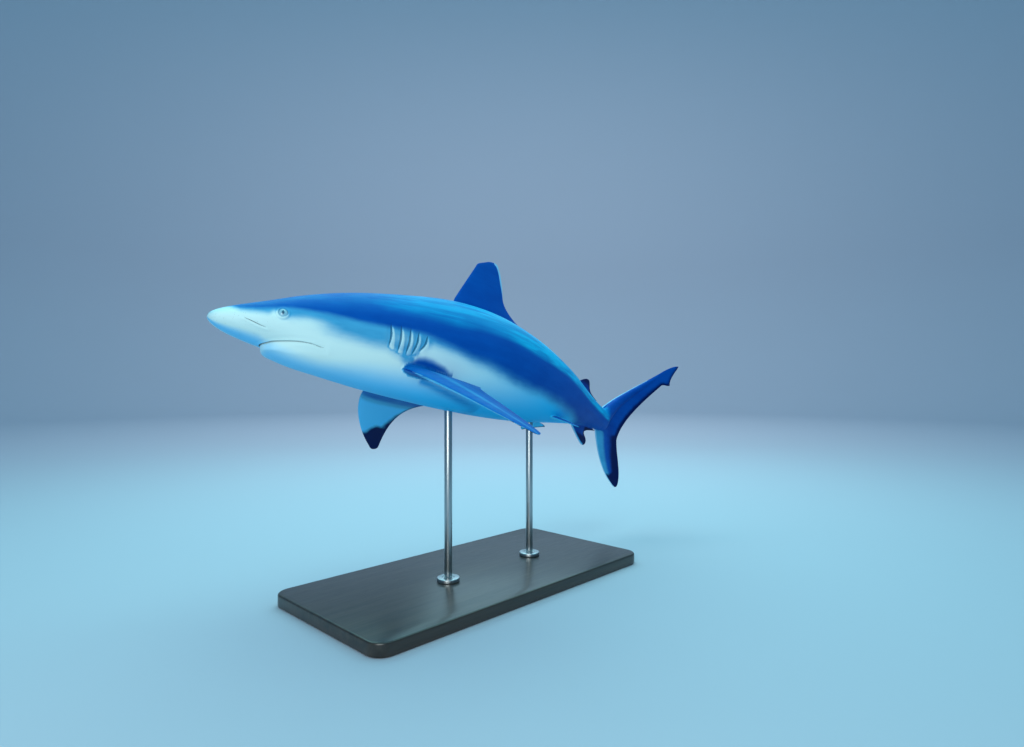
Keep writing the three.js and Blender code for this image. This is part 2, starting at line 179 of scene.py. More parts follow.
# The backbone: the model is shaped lying straight along X, and bent into its turn at the end
def spineFrame(station):
    turn = np.zeros_like(station)
    dip = np.zeros_like(station)
    for low, high, right, down in pose["bends"]:
        share = ease(station, low, high)
        turn = turn + math.radians(right) * share
        dip = dip + math.radians(down) * share
    back = np.stack([np.cos(turn) * np.cos(dip), np.sin(turn) * np.cos(dip), -np.sin(dip)], -1)
    left = np.stack([np.sin(turn), -np.cos(turn), np.zeros_like(turn)], -1)
    return back, left, np.cross(left, back)


spineStations = np.arange(pose["steps"] + 1) * pose["step"]
spineSteps = spineFrame(spineStations[:-1] + pose["step"] / 2)[0] * pose["step"] * length
spinePoints = np.vstack([np.zeros(3), np.cumsum(spineSteps, 0)])


def spineAt(station):
    return np.stack([np.interp(station, spineStations, spinePoints[:, k]) for k in range(3)], -1)


def bend(places):
    station = places[:, 0] / length
    left, up = spineFrame(station)[1:]
    return spineAt(station) - left * places[:, 1:2] + up * places[:, 2:3]


def straighten(places):
    station = places[:, 0] / length
    for again in range(pose["rounds"]):
        back = spineFrame(station)[0]
        station = station + np.sum((places - spineAt(station)) * back, 1) / length
    left, up = spineFrame(station)[1:]
    rest = places - spineAt(station)
    return np.stack([station * length, -np.sum(rest * left, 1), np.sum(rest * up, 1)], -1)


turns = [math.radians(pose[k]) for k in ("bank", "noseUp", "heading")]
turnToWorld = np.array(Euler(turns, "XYZ").to_matrix())


def toWorld(places):
    return bend(places) @ turnToWorld.T + np.array(pose["snoutPlace"])


# A tube drawn out of a round: a plain start whose rings are then moved to their places
def drawnTube(name, around, steps):
    deselectEverything()
    bpy.ops.mesh.primitive_circle_add(vertices=around, radius=1, fill_type="NGON")
    piece = bpy.context.object
    piece.name = piece.data.name = name
    editAll(piece, lambda: bpy.ops.mesh.extrude_repeat(steps=steps, offset=(0, 0, 1)))
    places = pointsOf(piece)
    spot = np.round(np.arctan2(places[:, 1], places[:, 0]) / (2 * math.pi) * around).astype(int) % around
    return piece, np.round(places[:, 2]).astype(int), spot


# Edges of fins are chains of Bezier arcs, walked evenly along their length
def edgeLine(start, *arcs):
    line = [np.array([start], float)]
    t = np.linspace(0, 1, 80)[1:, None]
    for arc in arcs:
        a, b, c, d = np.vstack([line[-1][-1:], arc])
        line.append(a * (1 - t) ** 3 + 3 * b * t * (1 - t) ** 2 + 3 * c * t**2 * (1 - t) + d * t**3)
    return np.vstack(line)


def pointOn(line, t):
    way = np.concatenate(([0], np.cumsum(np.linalg.norm(np.diff(line, axis=0), axis=1))))
    return np.stack([np.interp(t * way[-1], way, line[:, k]) for k in range(line.shape[1])], -1)


def nearestOn(line, places):
    best = np.full(len(places), np.inf)
    share = np.zeros(len(places))
    for k, step in enumerate(np.diff(line, axis=0)):
        t = np.clip(((places - line[k]) @ step) / max(step @ step, 1e-18), 0, 1)
        away = np.linalg.norm(places - line[k] - t[:, None] * step, axis=1)
        share = np.where(away < best, (k + t) / (len(line) - 1), share)
        best = np.minimum(away, best)
    return best, share


# Outline of the body, as shares of the length, and the muscle that runs on into the tail fin.
# The squareness is that of the lower half, and the spacing of the rings is in mm.
outline = {
    "back": [(0.0022, 0), (0.0055, 0.0056), (0.025, 0.0148), (0.062, 0.0275), (0.1, 0.0414),
        (0.15, 0.0552), (0.22, 0.0677), (0.3, 0.0777), (0.38, 0.0779), (0.46, 0.0695), (0.56, 0.0513),
        (0.66, 0.0319), (0.745, 0.022), (0.78, 0.0192)],
    "belly": [(0.0022, 0), (0.0055, -0.005), (0.025, -0.0142), (0.04, -0.0186), (0.0565, -0.023),
        (0.067, -0.0258), (0.078, -0.0296), (0.1, -0.0393), (0.125, -0.0478), (0.15, -0.053),
        (0.22, -0.0638), (0.3, -0.0708), (0.38, -0.0709), (0.46, -0.0639), (0.56, -0.0472),
        (0.66, -0.0301), (0.745, -0.0221), (0.78, -0.0188)],
    "jaw": [(0.0022, 0), (0.0055, -0.005), (0.025, -0.0142), (0.04, -0.0186), (0.055, -0.023),
        (0.0585, -0.0262), (0.063, -0.0304), (0.07, -0.0346), (0.08, -0.0383), (0.1, -0.0438),
        (0.125, -0.0484), (0.15, -0.053), (0.22, -0.0638)],
    "halfWidth": [(0.0022, 0), (0.0055, 0.0098), (0.025, 0.0268), (0.062, 0.0419), (0.1, 0.0495),
        (0.16, 0.0549), (0.25, 0.0566), (0.35, 0.0551), (0.45, 0.0473), (0.56, 0.0331), (0.66, 0.0193),
        (0.745, 0.0124), (0.78, 0.009)],
    "level": [(0.0022, 0), (0.03, -0.0025), (0.09, 0), (0.25, 0.002), (0.4, 0.004), (0.6, 0.0015),
        (0.78, 0)],
    "squareness": [(0.0022, 2), (0.08, 2), (0.14, 2.2)], "jawSquareness": 2.2, "tailFrom": 0.738,
    "tailTo": 0.768, "tailEnd": 0.915, "tailUnderMargin": 0.0014,
    "tailHalfHeight": [(0.73, 0.0218), (0.75, 0.0212), (0.768, 0.0186), (0.8, 0.0128), (0.85, 0.0082),
        (0.915, 0.0034)],
    "tailHalfWidth": [(0.73, 0.0133), (0.75, 0.012), (0.768, 0.0107), (0.8, 0.0078), (0.85, 0.0046),
        (0.915, 0.0014)],
    "around": 88,
    "spacing": [(0, 1.6), (0.02, 2.3), (0.12, 2.6), (0.25, 3.2), (0.32, 6.5), (0.7, 6.5), (0.92, 5)],
}
upperMargin = edgeLine((0.7422, 0.0213), ((0.79, 0.052), (0.86, 0.092), (0.915, 0.1305)),
                       ((0.93, 0.141), (0.945, 0.1495), (0.9555, 0.1512)))


def sectionAt(station, lower="belly"):
    body = (along(outline[k], station) for k in ("back", lower, "halfWidth", "level"))
    side, half = (along(outline[k], station) for k in ("tailHalfWidth", "tailHalfHeight"))
    roof = np.interp(station, *upperMargin.T) - outline["tailUnderMargin"]
    share = ease(station, outline["tailFrom"], outline["tailTo"])
    tail = (roof, roof - 2 * half, side, roof - half)
    return [mix(first, second, share) for first, second in zip(body, tail)]


def onOutline(station, angle, lower="belly"):
    top, bottom, side, level = sectionAt(station, lower)
    across, upward = np.cos(angle), np.sin(angle)
    square = outline["jawSquareness"] if lower == "jaw" else lineThrough(outline["squareness"], station)
    power = np.where(upward >= 0, 1, 2 / square)
    height = np.where(upward >= 0, top - level, level - bottom)
    left = side * np.sign(across) * np.abs(across) ** power
    up = level + height * np.sign(upward) * np.abs(upward) ** power
    return np.stack([station, -left, up], -1) * length


def angleOf(places):
    top, bottom, side, level = (x * length for x in sectionAt(places[:, 0] / length))
    upward = places[:, 2] - level
    power = np.where(upward >= 0, 1, lineThrough(outline["squareness"], places[:, 0] / length) / 2)
    across = -places[:, 1] / np.maximum(side, 1e-9)
    rise = upward / np.maximum(np.where(upward >= 0, top - level, level - bottom), 1e-9)
    return np.arctan2(np.sign(rise) * np.abs(rise) ** power, np.sign(across) * np.abs(across) ** power)


def ontoBody(places):
    return onOutline(places[:, 0] / length, angleOf(places))


# A point of the left flank (side 1) at a station and height, or of the right flank (side -1)
def flankPoint(station, up, side=1):
    top, bottom, half, level = sectionAt(station)
    rise = (up - level) / np.where(up >= level, top - level, level - bottom)
    power = np.where(up >= level, 2, lineThrough(outline["squareness"], station))
    left = half * (1 - np.abs(rise) ** power) ** (1 / power)
    return np.stack([station, -side * left, up], -1) * length


# The rings of the body stand closer where the outline turns and where the head has features
station = pose["snoutTip"] + np.linspace(0.006, math.sqrt(outline["tailEnd"] - pose["snoutTip"]), 6000) ** 2
run = np.hypot(np.gradient(station), np.gradient(sectionAt(station)[2])) * length * 1000
count = np.cumsum(run / lineThrough(outline["spacing"], station))
stations = np.interp(np.linspace(count[0], count[-1], int(count[-1])), count, station)
skin, ring, spot = drawnTube("skin", outline["around"], len(stations) - 1)
movePoints(skin, onOutline(stations[ring], 2 * math.pi * spot / outline["around"]))
faceOutwards(skin)
print("body drawn out,", len(stations), "rings")

# Fins: chords run from the leading edge to the trailing edge. Edges are [station, height] on the midline
# and [back, outwards] on a paired fin. Thicknesses and blends are in mm, droops in degrees.
fins = {
    "firstDorsal": {
        "leading": edgeLine((0.3, 0.074), ((0.313, 0.097), (0.332, 0.127), (0.3447, 0.1482)),
            ((0.347, 0.152), (0.357, 0.1545), (0.369, 0.161))),
        "inner": edgeLine((0.404, 0.07), ((0.415, 0.071), (0.435, 0.0745), (0.444, 0.0785))),
        "trailing": edgeLine((0.444, 0.0785), ((0.42, 0.086), (0.403, 0.098), (0.4, 0.11)),
            ((0.399, 0.12), (0.394, 0.162), (0.381, 0.1625))),
        "innerShare": 0.14, "rings": 40, "root": 15, "buried": (0, -0.02), "blend": 13,
    },
    "secondDorsal": {
        "leading": edgeLine((0.62, 0.036), ((0.636, 0.0445), (0.654, 0.0552), (0.675, 0.0592))),
        "inner": edgeLine((0.682, 0.026), ((0.69, 0.0268), (0.71, 0.0285), (0.722, 0.03))),
        "trailing": edgeLine((0.722, 0.03), ((0.703, 0.0335), (0.6872, 0.037), (0.6866, 0.047)),
            ((0.6866, 0.0525), (0.6882, 0.0588), (0.6805, 0.0597))),
        "innerShare": 0.2, "rings": 24, "root": 9, "buried": (0, -0.012), "blend": 7,
    },
    "anal": {
        "leading": edgeLine((0.598, -0.038), ((0.611, -0.0455), (0.626, -0.0575), (0.6415, -0.0645)),
            ((0.644, -0.0655), (0.647, -0.066), (0.65, -0.0662))),
        "inner": edgeLine((0.67, -0.024), ((0.682, -0.0245), (0.702, -0.027), (0.714, -0.0285))),
        "trailing": edgeLine((0.714, -0.0285), ((0.69, -0.0325), (0.657, -0.034), (0.6592, -0.044)),
            ((0.6605, -0.0485), (0.6712, -0.0515), (0.669, -0.057)), ((0.6675, -0.0612), (0.66, -0.0658),
            (0.654, -0.0662))),
        "innerShare": 0.2, "rings": 24, "root": 9, "buried": (0, 0.012), "blend": 7,
    },
    "upperLobe": {
        "leading": upperMargin,
        "inner": edgeLine((0.7422, -0.0213), ((0.76, -0.023), (0.785, -0.024), (0.802, -0.028))),
        "trailing": edgeLine((0.802, -0.028), ((0.812, 0.006), (0.886, 0.073), (0.9195, 0.1055)),
            ((0.924, 0.1048), (0.931, 0.1035), (0.9365, 0.1055)), ((0.935, 0.1165), (0.944, 0.131),
            (0.958, 0.1498))),
        "innerShare": 0.22, "rings": 48, "root": 14, "buried": (0, 0), "blend": 9,
    },
    "lowerLobe": {
        "leading": edgeLine((0.715, -0.02), ((0.722, -0.062), (0.745, -0.0925), (0.787, -0.1155)),
            ((0.79, -0.1175), (0.793, -0.119), (0.796, -0.1195))),
        "inner": edgeLine((0.802, -0.02), ((0.802, -0.023), (0.802, -0.026), (0.802, -0.029))),
        "trailing": edgeLine((0.802, -0.029), ((0.8, -0.05), (0.814, -0.08), (0.81, -0.104)),
            ((0.809, -0.112), (0.806, -0.118), (0.801, -0.1195))),
        "innerShare": 0.1, "rings": 36, "root": 16, "buried": (0, 0.012), "blend": 7,
    },
}
pectoral = {
    "leading": edgeLine((0, 0), ((0.003, 0.046), (0.055, 0.113), (0.105, 0.148)), ((0.108, 0.151),
        (0.11, 0.1525), (0.112, 0.153))),
    "inner": edgeLine((0.062, 0.002), ((0.075, 0.005), (0.092, 0.012), (0.097, 0.026))),
    "trailing": edgeLine((0.097, 0.026), ((0.0775, 0.056), (0.0993, 0.106), (0.119, 0.147)),
        ((0.1195, 0.15), (0.1185, 0.1525), (0.116, 0.1532))),
    "innerShare": 0.16, "rings": 46, "root": 20, "buried": (0, -0.02), "blend": 12, "station": 0.212,
    "out": 0.046, "up": -0.038, "curl": 0.17,
}
pelvic = {
    "leading": edgeLine((0, 0), ((0.011, 0.0135), (0.021, 0.027), (0.0285, 0.034)), ((0.031, 0.0358),
        (0.033, 0.0364), (0.035, 0.0362))),
    "inner": edgeLine((0.039, 0), ((0.05, 0.0015), (0.06, 0.003), (0.0645, 0.0075))),
    "trailing": edgeLine((0.0645, 0.0075), ((0.056, 0.0135), (0.045, 0.0225), (0.039, 0.0315)),
        ((0.0385, 0.034), (0.0375, 0.0358), (0.0365, 0.0361))),
    "innerShare": 0.2, "rings": 24, "root": 9, "buried": (0, -0.014), "blend": 7, "station": 0.495,
    "out": 0.022, "up": -0.05, "curl": 0,
}
fins["pectoralLeft"] = {**pectoral, "side": 1, "droop": 18.7, "toeDown": 4.4, "shear": -0.12, "stretch": 1.06}
fins["pectoralRight"] = {**pectoral, "side": -1, "droop": 8, "toeDown": 8.1, "shear": -0.25, "stretch": 1.12}
fins["pelvicLeft"] = {**pelvic, "side": 1, "droop": 24, "toeDown": 0, "shear": 0, "stretch": 1}
fins["pelvicRight"] = {**pelvic, "side": -1, "droop": 12, "toeDown": 0, "shear": 0.15, "stretch": 1}
finMesh = {"around": 40, "rim": 0.4, "tip": 2, "tipRings": 6, "tipFrom": 0.965, "tipTo": 0.999,
           "curlSpan": 0.15, "edgeShare": 0.02}


def pairedAxes(fin):
    back, left, up = (v[0] for v in spineFrame(np.array([fin["station"]])))
    toe, droop = math.radians(fin["toeDown"]), math.radians(fin["droop"])
    backAxis = back * math.cos(toe) - up * math.sin(toe)
    spanAxis = left * fin["side"] * math.cos(droop) - up * math.sin(droop)
    faceAxis = np.cross(backAxis, spanAxis) * -fin["side"]
    root = bend(np.array([[fin["station"], -fin["side"] * fin["out"], fin["up"]]]) * length)[0]
    return root, backAxis, spanAxis, unit(faceAxis)


def sagOf(fin, span):
    return -fin["curl"] * (span / finMesh["curlSpan"]) ** 2 * finMesh["curlSpan"] * length


def placeOnFin(fin, x, y, z):  # x back, y outwards, as shares of the length, z through the fin in metres
    if "side" not in fin:
        return np.stack([x * length, -z, y * length], -1)
    root, backAxis, spanAxis, faceAxis = pairedAxes(fin)
    span = y * fin["stretch"]
    back = np.outer((x + y * fin["shear"]) * length, backAxis)
    out = np.outer(span * length, spanAxis)
    return straighten(root + back + out + np.outer(sagOf(fin, span) + z, faceAxis))


def findOnFin(fin, places):  # the way back: x, y and z of points of the straight model
    if "side" not in fin:
        return places[:, 0] / length, places[:, 2] / length, -places[:, 1]
    root, *axes = pairedAxes(fin)
    x, span, face = np.linalg.solve(np.stack(axes, -1), (bend(places) - root).T)
    y = span / length / fin["stretch"]
    return x / length - y * fin["shear"], y, face - sagOf(fin, span / length)


def foil(c):
    return 10 * (0.2969 * np.sqrt(c) - 0.126 * c - 0.3516 * c**2 + 0.2843 * c**3 - 0.1036 * c**4)


# The first ring is buried in the body, the middle ones lie along the fin, and the last ones round its tip
def finPiece(name, fin):
    ordinary, around, inner = fin["rings"], finMesh["around"], fin["innerShare"]
    piece, ring, spot = drawnTube(name, around, ordinary + finMesh["tipRings"])
    split = int(round(ordinary * inner / finMesh["tipFrom"]))
    innerWays = np.linspace(0, inner, split + 1)[:-1]
    outerWays = np.linspace(inner, finMesh["tipFrom"], ordinary - split)
    rounding = np.sin(np.linspace(0, math.pi / 2, finMesh["tipRings"] + 1)[1:]) * finMesh["tipTo"]
    t = np.concatenate([[0], innerWays, outerWays, mix(finMesh["tipFrom"], 1, rounding)])
    shrink = np.concatenate([np.ones(ordinary + 1), np.sqrt(1 - rounding**2)])
    front = pointOn(fin["leading"], t)
    rear = np.where((t < inner)[:, None], pointOn(fin["inner"], np.minimum(t / inner, 1)),
                    pointOn(fin["trailing"], np.maximum(t - inner, 0) / (1 - inner)))
    front[0] += fin["buried"]
    rear[0] += fin["buried"]
    middle = (front + rear) / 2
    front, rear = (middle + (end - middle) * shrink[:, None] for end in (front, rear))
    half = mix(fin["root"], finMesh["tip"], t**0.8) / 2 * shrink
    rim = finMesh["rim"] * shrink
    m = around // 2
    k = np.minimum(spot, around - spot)
    c = (1 - np.cos(math.pi * k / m)) / 2
    edge = np.sqrt(np.clip((1 - c) / finMesh["edgeShare"], 0, 1))
    thick = (rim[ring] * edge + (half - rim)[ring] * np.maximum(foil(c), 0)) * np.where(spot <= m, 1, -1)
    thick = np.where((k == 0) | (k == m), 0, thick)
    place = front[ring] + (rear[ring] - front[ring]) * c[:, None]
    movePoints(piece, placeOnFin(fin, place[:, 0], place[:, 1], thick / 1000))
    faceOutwards(piece)
    return piece


# Pieces are joined on or cut away. Each one's own material tells its faces from the body's until the end.
def combine(piece, part, operation):
    piece.data.materials.append(bpy.data.materials.get(part) or bpy.data.materials.new(part))
    workOn(skin)
    step = skin.modifiers.new("combine", "BOOLEAN")
    step.operation = operation
    step.solver = "MANIFOLD"
    step.material_mode = "TRANSFER"
    step.object = piece
    bpy.ops.object.modifier_apply(modifier="combine")
    bpy.data.objects.remove(piece)


skin.data.materials.append(bpy.data.materials.new("partBody"))
for name, fin in fins.items():
    combine(finPiece(name, fin), "part" + name, "UNION")
    print("joined", name, len(skin.data.vertices))
partNames = ["body", *fins, "cut"]


def splitFaces(piece, chosen):
    chosen = chosen.tolist()
    editChosen(piece, "FACE", lambda face: any(chosen[point.index] for point in face.verts),
               lambda: bpy.ops.mesh.subdivide(number_cuts=1, ngon=False, quadcorner="INNERVERT"))


# How far each point is from the seams, in blend widths, and which parts it came from: the body is 0,
# and a point on a seam belongs to two
def awayFromSeams(piece):
    material, count = (readNumbers(piece.data.polygons, name) for name in ("material_index", "loop_total"))
    corner = readNumbers(piece.data.loops, "vertex_index")
    low, high = np.full(len(piece.data.vertices), 99), np.full(len(piece.data.vertices), -1)
    np.minimum.at(low, corner, np.repeat(material, count))
    np.maximum.at(high, corner, np.repeat(material, count))
    places = pointsOf(piece)
    seam = np.flatnonzero((low != high) & (high <= len(fins)))
    tree = kdtree.KDTree(len(seam))
    for k in seam:
        tree.insert(places[k], int(k))
    tree.balance()
    near, gap = np.array([tree.find(place)[1:] for place in places]).T
    radius = np.array([1] + [fin["blend"] for fin in fins.values()]) / 1000
    return gap / radius[high[near.astype(int)]], low, high


# Where a fin meets the body the mesh is made finer, and the seam is smoothed into a soft hollow
seamBlend = {"finer": 1.15, "passes": [(1.0, 8), (0.7, 10), (0.45, 8)]}
splitFaces(skin, awayFromSeams(skin)[0] < seamBlend["finer"])
away = awayFromSeams(skin)[0]
for reach, times in seamBlend["passes"]:
    soft = (away < reach).tolist()
    editChosen(skin, "VERT", lambda point: soft[point.index],
               lambda: bpy.ops.mesh.vertices_smooth(factor=0.5, repeat=times))
print("seams blended,", len(skin.data.vertices), "points")

# Features of the head, as [station, left, up] or [station, up] on the left flank. Widths, depths and reaches
# are in mm: the mouth's widths and depths at its corners and chin, its jawReach at the chin and on the sides.
# Profiles are [height, place, width].
mouth = {
    "line": [(0.059, 0, -0.0236), (0.0593, 0.003, -0.0236), (0.0601, 0.0071, -0.0236),
        (0.064, 0.0151, -0.0234), (0.0688, 0.0219, -0.0229), (0.0794, 0.0301, -0.0229),
        (0.0919, 0.0373, -0.0232), (0.1039, 0.0409, -0.0244), (0.1115, 0.0419, -0.0261),
        (0.1185, 0.0427, -0.0275)],
    "halfWidth": (0.35, 1.05), "depth": (3, 8), "jawReach": (3.8, 19),
    "lips": [(0.5, 2.8, 2.2), (-1.3, -0.2, 1.7), (0.7, -5, 4.5), (-0.4, 8, 3.5)],
    "lipReach": 22, "span": (0.05, 0.16), "lean": (0.25, 0, 0.35),
}
gills = {
    "slits": [((0.1912, 0.0113), (0.1921, -0.003), (0.1905, -0.0166)), ((0.2041, 0.0109), (0.204, -0.005),
        (0.2019, -0.0209)), ((0.2158, 0.0101), (0.215, -0.0064), (0.2118, -0.0229)), ((0.2261, 0.0077),
        (0.2244, -0.0076), (0.219, -0.0229)), ((0.2372, 0.0044), (0.2344, -0.0075), (0.2285, -0.0165))],
    "fold": [(0.1902, -0.0174), (0.1948, -0.0202), (0.2012, -0.0222), (0.2089, -0.0243), (0.216, -0.0243),
        (0.2267, -0.0199)],
    "halfWidth": 0.9, "depth": 7, "lean": 0.7,
    "profile": [(-1.1, -0.8, 1.6), (1.3, 4.6, 4.0), (-1.2, -4.6, 3.2)],
    "span": (0.17, 0.26),
}
nostril = {
    "line": [(0.0344, -0.0043), (0.0396, -0.0063), (0.0452, -0.0085), (0.0509, -0.0106), (0.0567, -0.0122)],
    "halfWidth": 0.8, "depth": 3.5, "fold": [(0.9, 3.2, 2.2)], "groove": [(0.5, 0, 1.2)], "reach": (9, 5),
}
eye = {
    "station": 0.0728, "out": 0.0364, "up": 0.0036, "radius": 14, "opening": 8.3, "socket": 7,
    "outermost": 19, "flare": (0.94, 1.06), "squash": 0.94, "around": 64,
    "lid": [(0.9, 10.4, 1.9), (-0.7, 15.5, 3.5)],
}
headEnd = 0.27 * length
rearwards = np.array([1.0, 0, 0])


def smoothLine(points, count):
    points = np.array(points, float)
    padded = np.vstack([2 * points[0] - points[1], points, 2 * points[-1] - points[-2]])
    line = []
    for k in range(1, len(padded) - 2):
        t = np.linspace(0, 1, 24, endpoint=False)[:, None]
        a, b, c, d = padded[k - 1 : k + 3]
        square, cube = 2 * a - 5 * b + 4 * c - d, 3 * b - a - 3 * c + d
        line.append(0.5 * (2 * b + (c - a) * t + square * t**2 + cube * t**3))
    return pointOn(np.vstack(line + [points[-1:]]), np.linspace(0, 1, count))


def bothFlanks(knots, count):
    return {side: flankPoint(*smoothLine(knots, count).T, side) for side in (1, -1)}


halfMouth = smoothLine(np.array(mouth["line"]) * (1, -1, 1), 60) * length
mouthLine = ontoBody(np.vstack([(halfMouth * (1, -1, 1))[:0:-1], halfMouth]))
gillLines = [bothFlanks(slit, 36) for slit in gills["slits"]]
foldLines = bothFlanks(gills["fold"], 36)
nostrilLines = bothFlanks(nostril["line"], 24)


def surfaceNormals(line):
    step = rearwards * 0.0004
    angle = angleOf(line)
    up, down = (onOutline(line[:, 0] / length, angle + turn) for turn in (0.01, -0.01))
    normal = np.cross(ontoBody(line + step) - ontoBody(line - step), up - down)
    middle = np.stack([line[:, 0], line[:, 1] * 0, sectionAt(line[:, 0] / length)[3] * length], -1)
    return unit(normal * np.sign(np.sum(normal * (line - middle), 1))[:, None])


eyes = {}
for side in (1, -1):
    centre = np.array([eye["station"], -side * eye["out"], eye["up"]]) * length
    outward = surfaceNormals(flankPoint(np.array([eye["station"]]), np.array([eye["up"]]), side))[0]
    forward = unit(outward * outward[0] - rearwards)
    eyes[side] = {"centre": centre, "axes": (forward, np.cross(forward, outward) * side, outward)}


def besideEye(places, side):  # mm from the eye's axis, and outwards along it
    rest = (places - eyes[side]["centre"]) * 1000
    outward = eyes[side]["axes"][2]
    depth = rest @ outward
    return np.linalg.norm(rest - np.outer(depth, outward), axis=1), depth


def fromEye(side, *parts):  # the place of mm forward, upward and outward
    steps = [np.outer(part, axis) for part, axis in zip(parts, eyes[side]["axes"])]
    return eyes[side]["centre"] + sum(steps) / 1000


def gapsToFeatures(places):
    near = places[:, 0] < headEnd
    gaps = np.full((4, len(places)), 1e3)
    groups = [mouthLine], [line[side] for line in gillLines for side in (1, -1)], list(nostrilLines.values())
    for row, lines in enumerate(groups):
        gaps[row, near] = np.min([nearestOn(line, places[near])[0] for line in lines], 0) * 1000
    lids = (besideEye(places[near], side) for side in (1, -1))
    gaps[3, near] = np.min([np.where(depth > 0, radius, 1e3) for radius, depth in lids], 0)
    return gaps


# The mesh is made finer round the features of the head, and its new points go back onto the outline.
# Reaches are mm from the mouth, gills, nostrils and eyes, and clear is a share of a seam's blend.
headMesh = {"reaches": [(12, 9, 8, 20), (5.5, 3.8, 3.5, 13)], "clear": 1.2}
for reach in headMesh["reaches"]:
    splitFaces(skin, np.any(gapsToFeatures(pointsOf(skin)) < np.array(reach)[:, None], axis=0))
away, low, high = awayFromSeams(skin)
places = pointsOf(skin)
onHead = (high == 0) & (away > headMesh["clear"]) & (places[:, 0] < headEnd)
places[onHead] = ontoBody(places[onHead])
movePoints(skin, places)
print("mesh made finer on the head,", len(skin.data.vertices), "points")


# How places lie beside a line: mm across it, the share along it, and mm away from it
def acrossLine(line, places, ahead=None, normals=None):
    gap, share = nearestOn(line, places)
    at = np.clip(share * (len(line) - 1), 0, len(line) - 1.001)
    low, part = at.astype(int), (at % 1)[:, None]
    foot, run = (k[low] * (1 - part) + k[low + 1] * part for k in (line, np.gradient(line, axis=0)))
    run = unit(run)
    side = np.cross(normals, run) if ahead is None else ahead - run * (run @ ahead)[:, None]
    return np.sum((places - foot) * side, 1) * 1000, share, gap * 1000


# 1 beside a line, less past its ends
def beside(gap, across, width):
    return hill(np.maximum(gap - np.abs(across), 0), width)


def ridges(profile, x):
    return sum(height * hill(x - place, width) for height, place, width in profile)


# Lips, gill covers, lids and small hollows are raised and sunk along the surface, in mm.
# The pits before the tail fin are [depth, station, half length, half width, upper or lower side].
tailPits = [(3.2, 0.7375, 5.5, 0.55, 1), (1.6, 0.728, 5, 0.5, -1)]
places, normals = pointsOf(skin), readVectors(skin.data.vertex_normals, "vector")
station, angle = places[:, 0] / length, angleOf(places)
raised = np.zeros(len(places))
near = (high == 0) & (station > mouth["span"][0]) & (station < mouth["span"][1])
above, share, gap = acrossLine(mouthLine, places[near], normals=normals[near])
frontness = 1 - np.abs(share * 2 - 1)  # 1 at the chin, 0 at the corners
fade = ease(frontness, 0, 0.12) * beside(gap, above, 3)
raised[near] += ridges(mouth["lips"], above) * fade * (gap < mouth["lipReach"])
reach = mix(*mouth["jawReach"], ease(station[near], 0.062, 0.09))
inJaw = np.maximum(ease(-above / reach, -0.15, 1), ease(station[near], 0.1185, 0.126))
jaw, belly = (onOutline(station[near], angle[near], lower) for lower in ("jaw", "belly"))
jawDrop = np.zeros((len(places), 3))
jawDrop[near] = (jaw - belly) * inJaw[:, None]
for side in (1, -1):
    flank = (high == 0) & (places[:, 1] * side < 0)
    mine = flank & (station > gills["span"][0]) & (station < gills["span"][1])
    for line in gillLines:
        behind, share, gap = acrossLine(line[side], places[mine], rearwards)
        taper = ease(share, 0, 0.2) * ease(share, 1, 0.9) * beside(gap, behind, 2)
        raised[mine] += ridges(gills["profile"], behind) * taper
    raised[mine] -= 0.8 * hill(nearestOn(foldLines[side], places[mine])[0] * 1000, 1.6)
    near = flank & (station < 0.14)
    raised[near] += ridges(eye["lid"], besideEye(places[near], side)[0])
    below, share, gap = acrossLine(nostrilLines[side], places[near], np.array([0, 0, -1.0]))
    fold = ridges(nostril["fold"], below) - ridges(nostril["groove"], gap)
    raised[near] += fold * ease(gap, *nostril["reach"])
for depth, at, long, wide, side in tailPits:
    pit = hill((station - at) * length * 1000, long) * hill(np.abs(np.cos(angle)), wide)
    raised -= depth * pit * (high == 0) * (places[:, 2] * side > 0)
movePoints(skin, places + normals * raised[:, None] / 1000 + jawDrop)
print("jaw lowered, lips, gill covers and lids raised")

# Slits are cut by thin wedges that stand proud of the skin. Widths and depths are in mm.
slit = {"proud": 3.5, "flare": 1.28, "floor": 0.25, "endWidth": 0.05, "endDepth": 0.3}


def cutSlit(line, inward, halfWidth, depth, share):
    halfWidth = mix(slit["endWidth"], halfWidth, share)
    depth = mix(slit["endDepth"], depth, share)
    piece, ring, spot = drawnTube("slit", 4, len(line) - 1)
    across = unit(np.cross(inward, np.gradient(line, axis=0)))
    outer = (spot == 0) | (spot == 3)
    reach = np.where(outer, -slit["proud"], depth[ring]) / 1000
    wide = halfWidth[ring] * np.where(outer, slit["flare"], slit["floor"]) * np.where(spot < 2, 1, -1) / 1000
    movePoints(piece, line[ring] + inward[ring] * reach[:, None] + across[ring] * wide[:, None])
    faceOutwards(piece)
    combine(piece, "partCut", "DIFFERENCE")


def cutTapered(line, inward, feature):
    share = np.sqrt(1 - np.linspace(-1, 1, len(line)) ** 2)
    cutSlit(line, inward, feature["halfWidth"], feature["depth"], share)


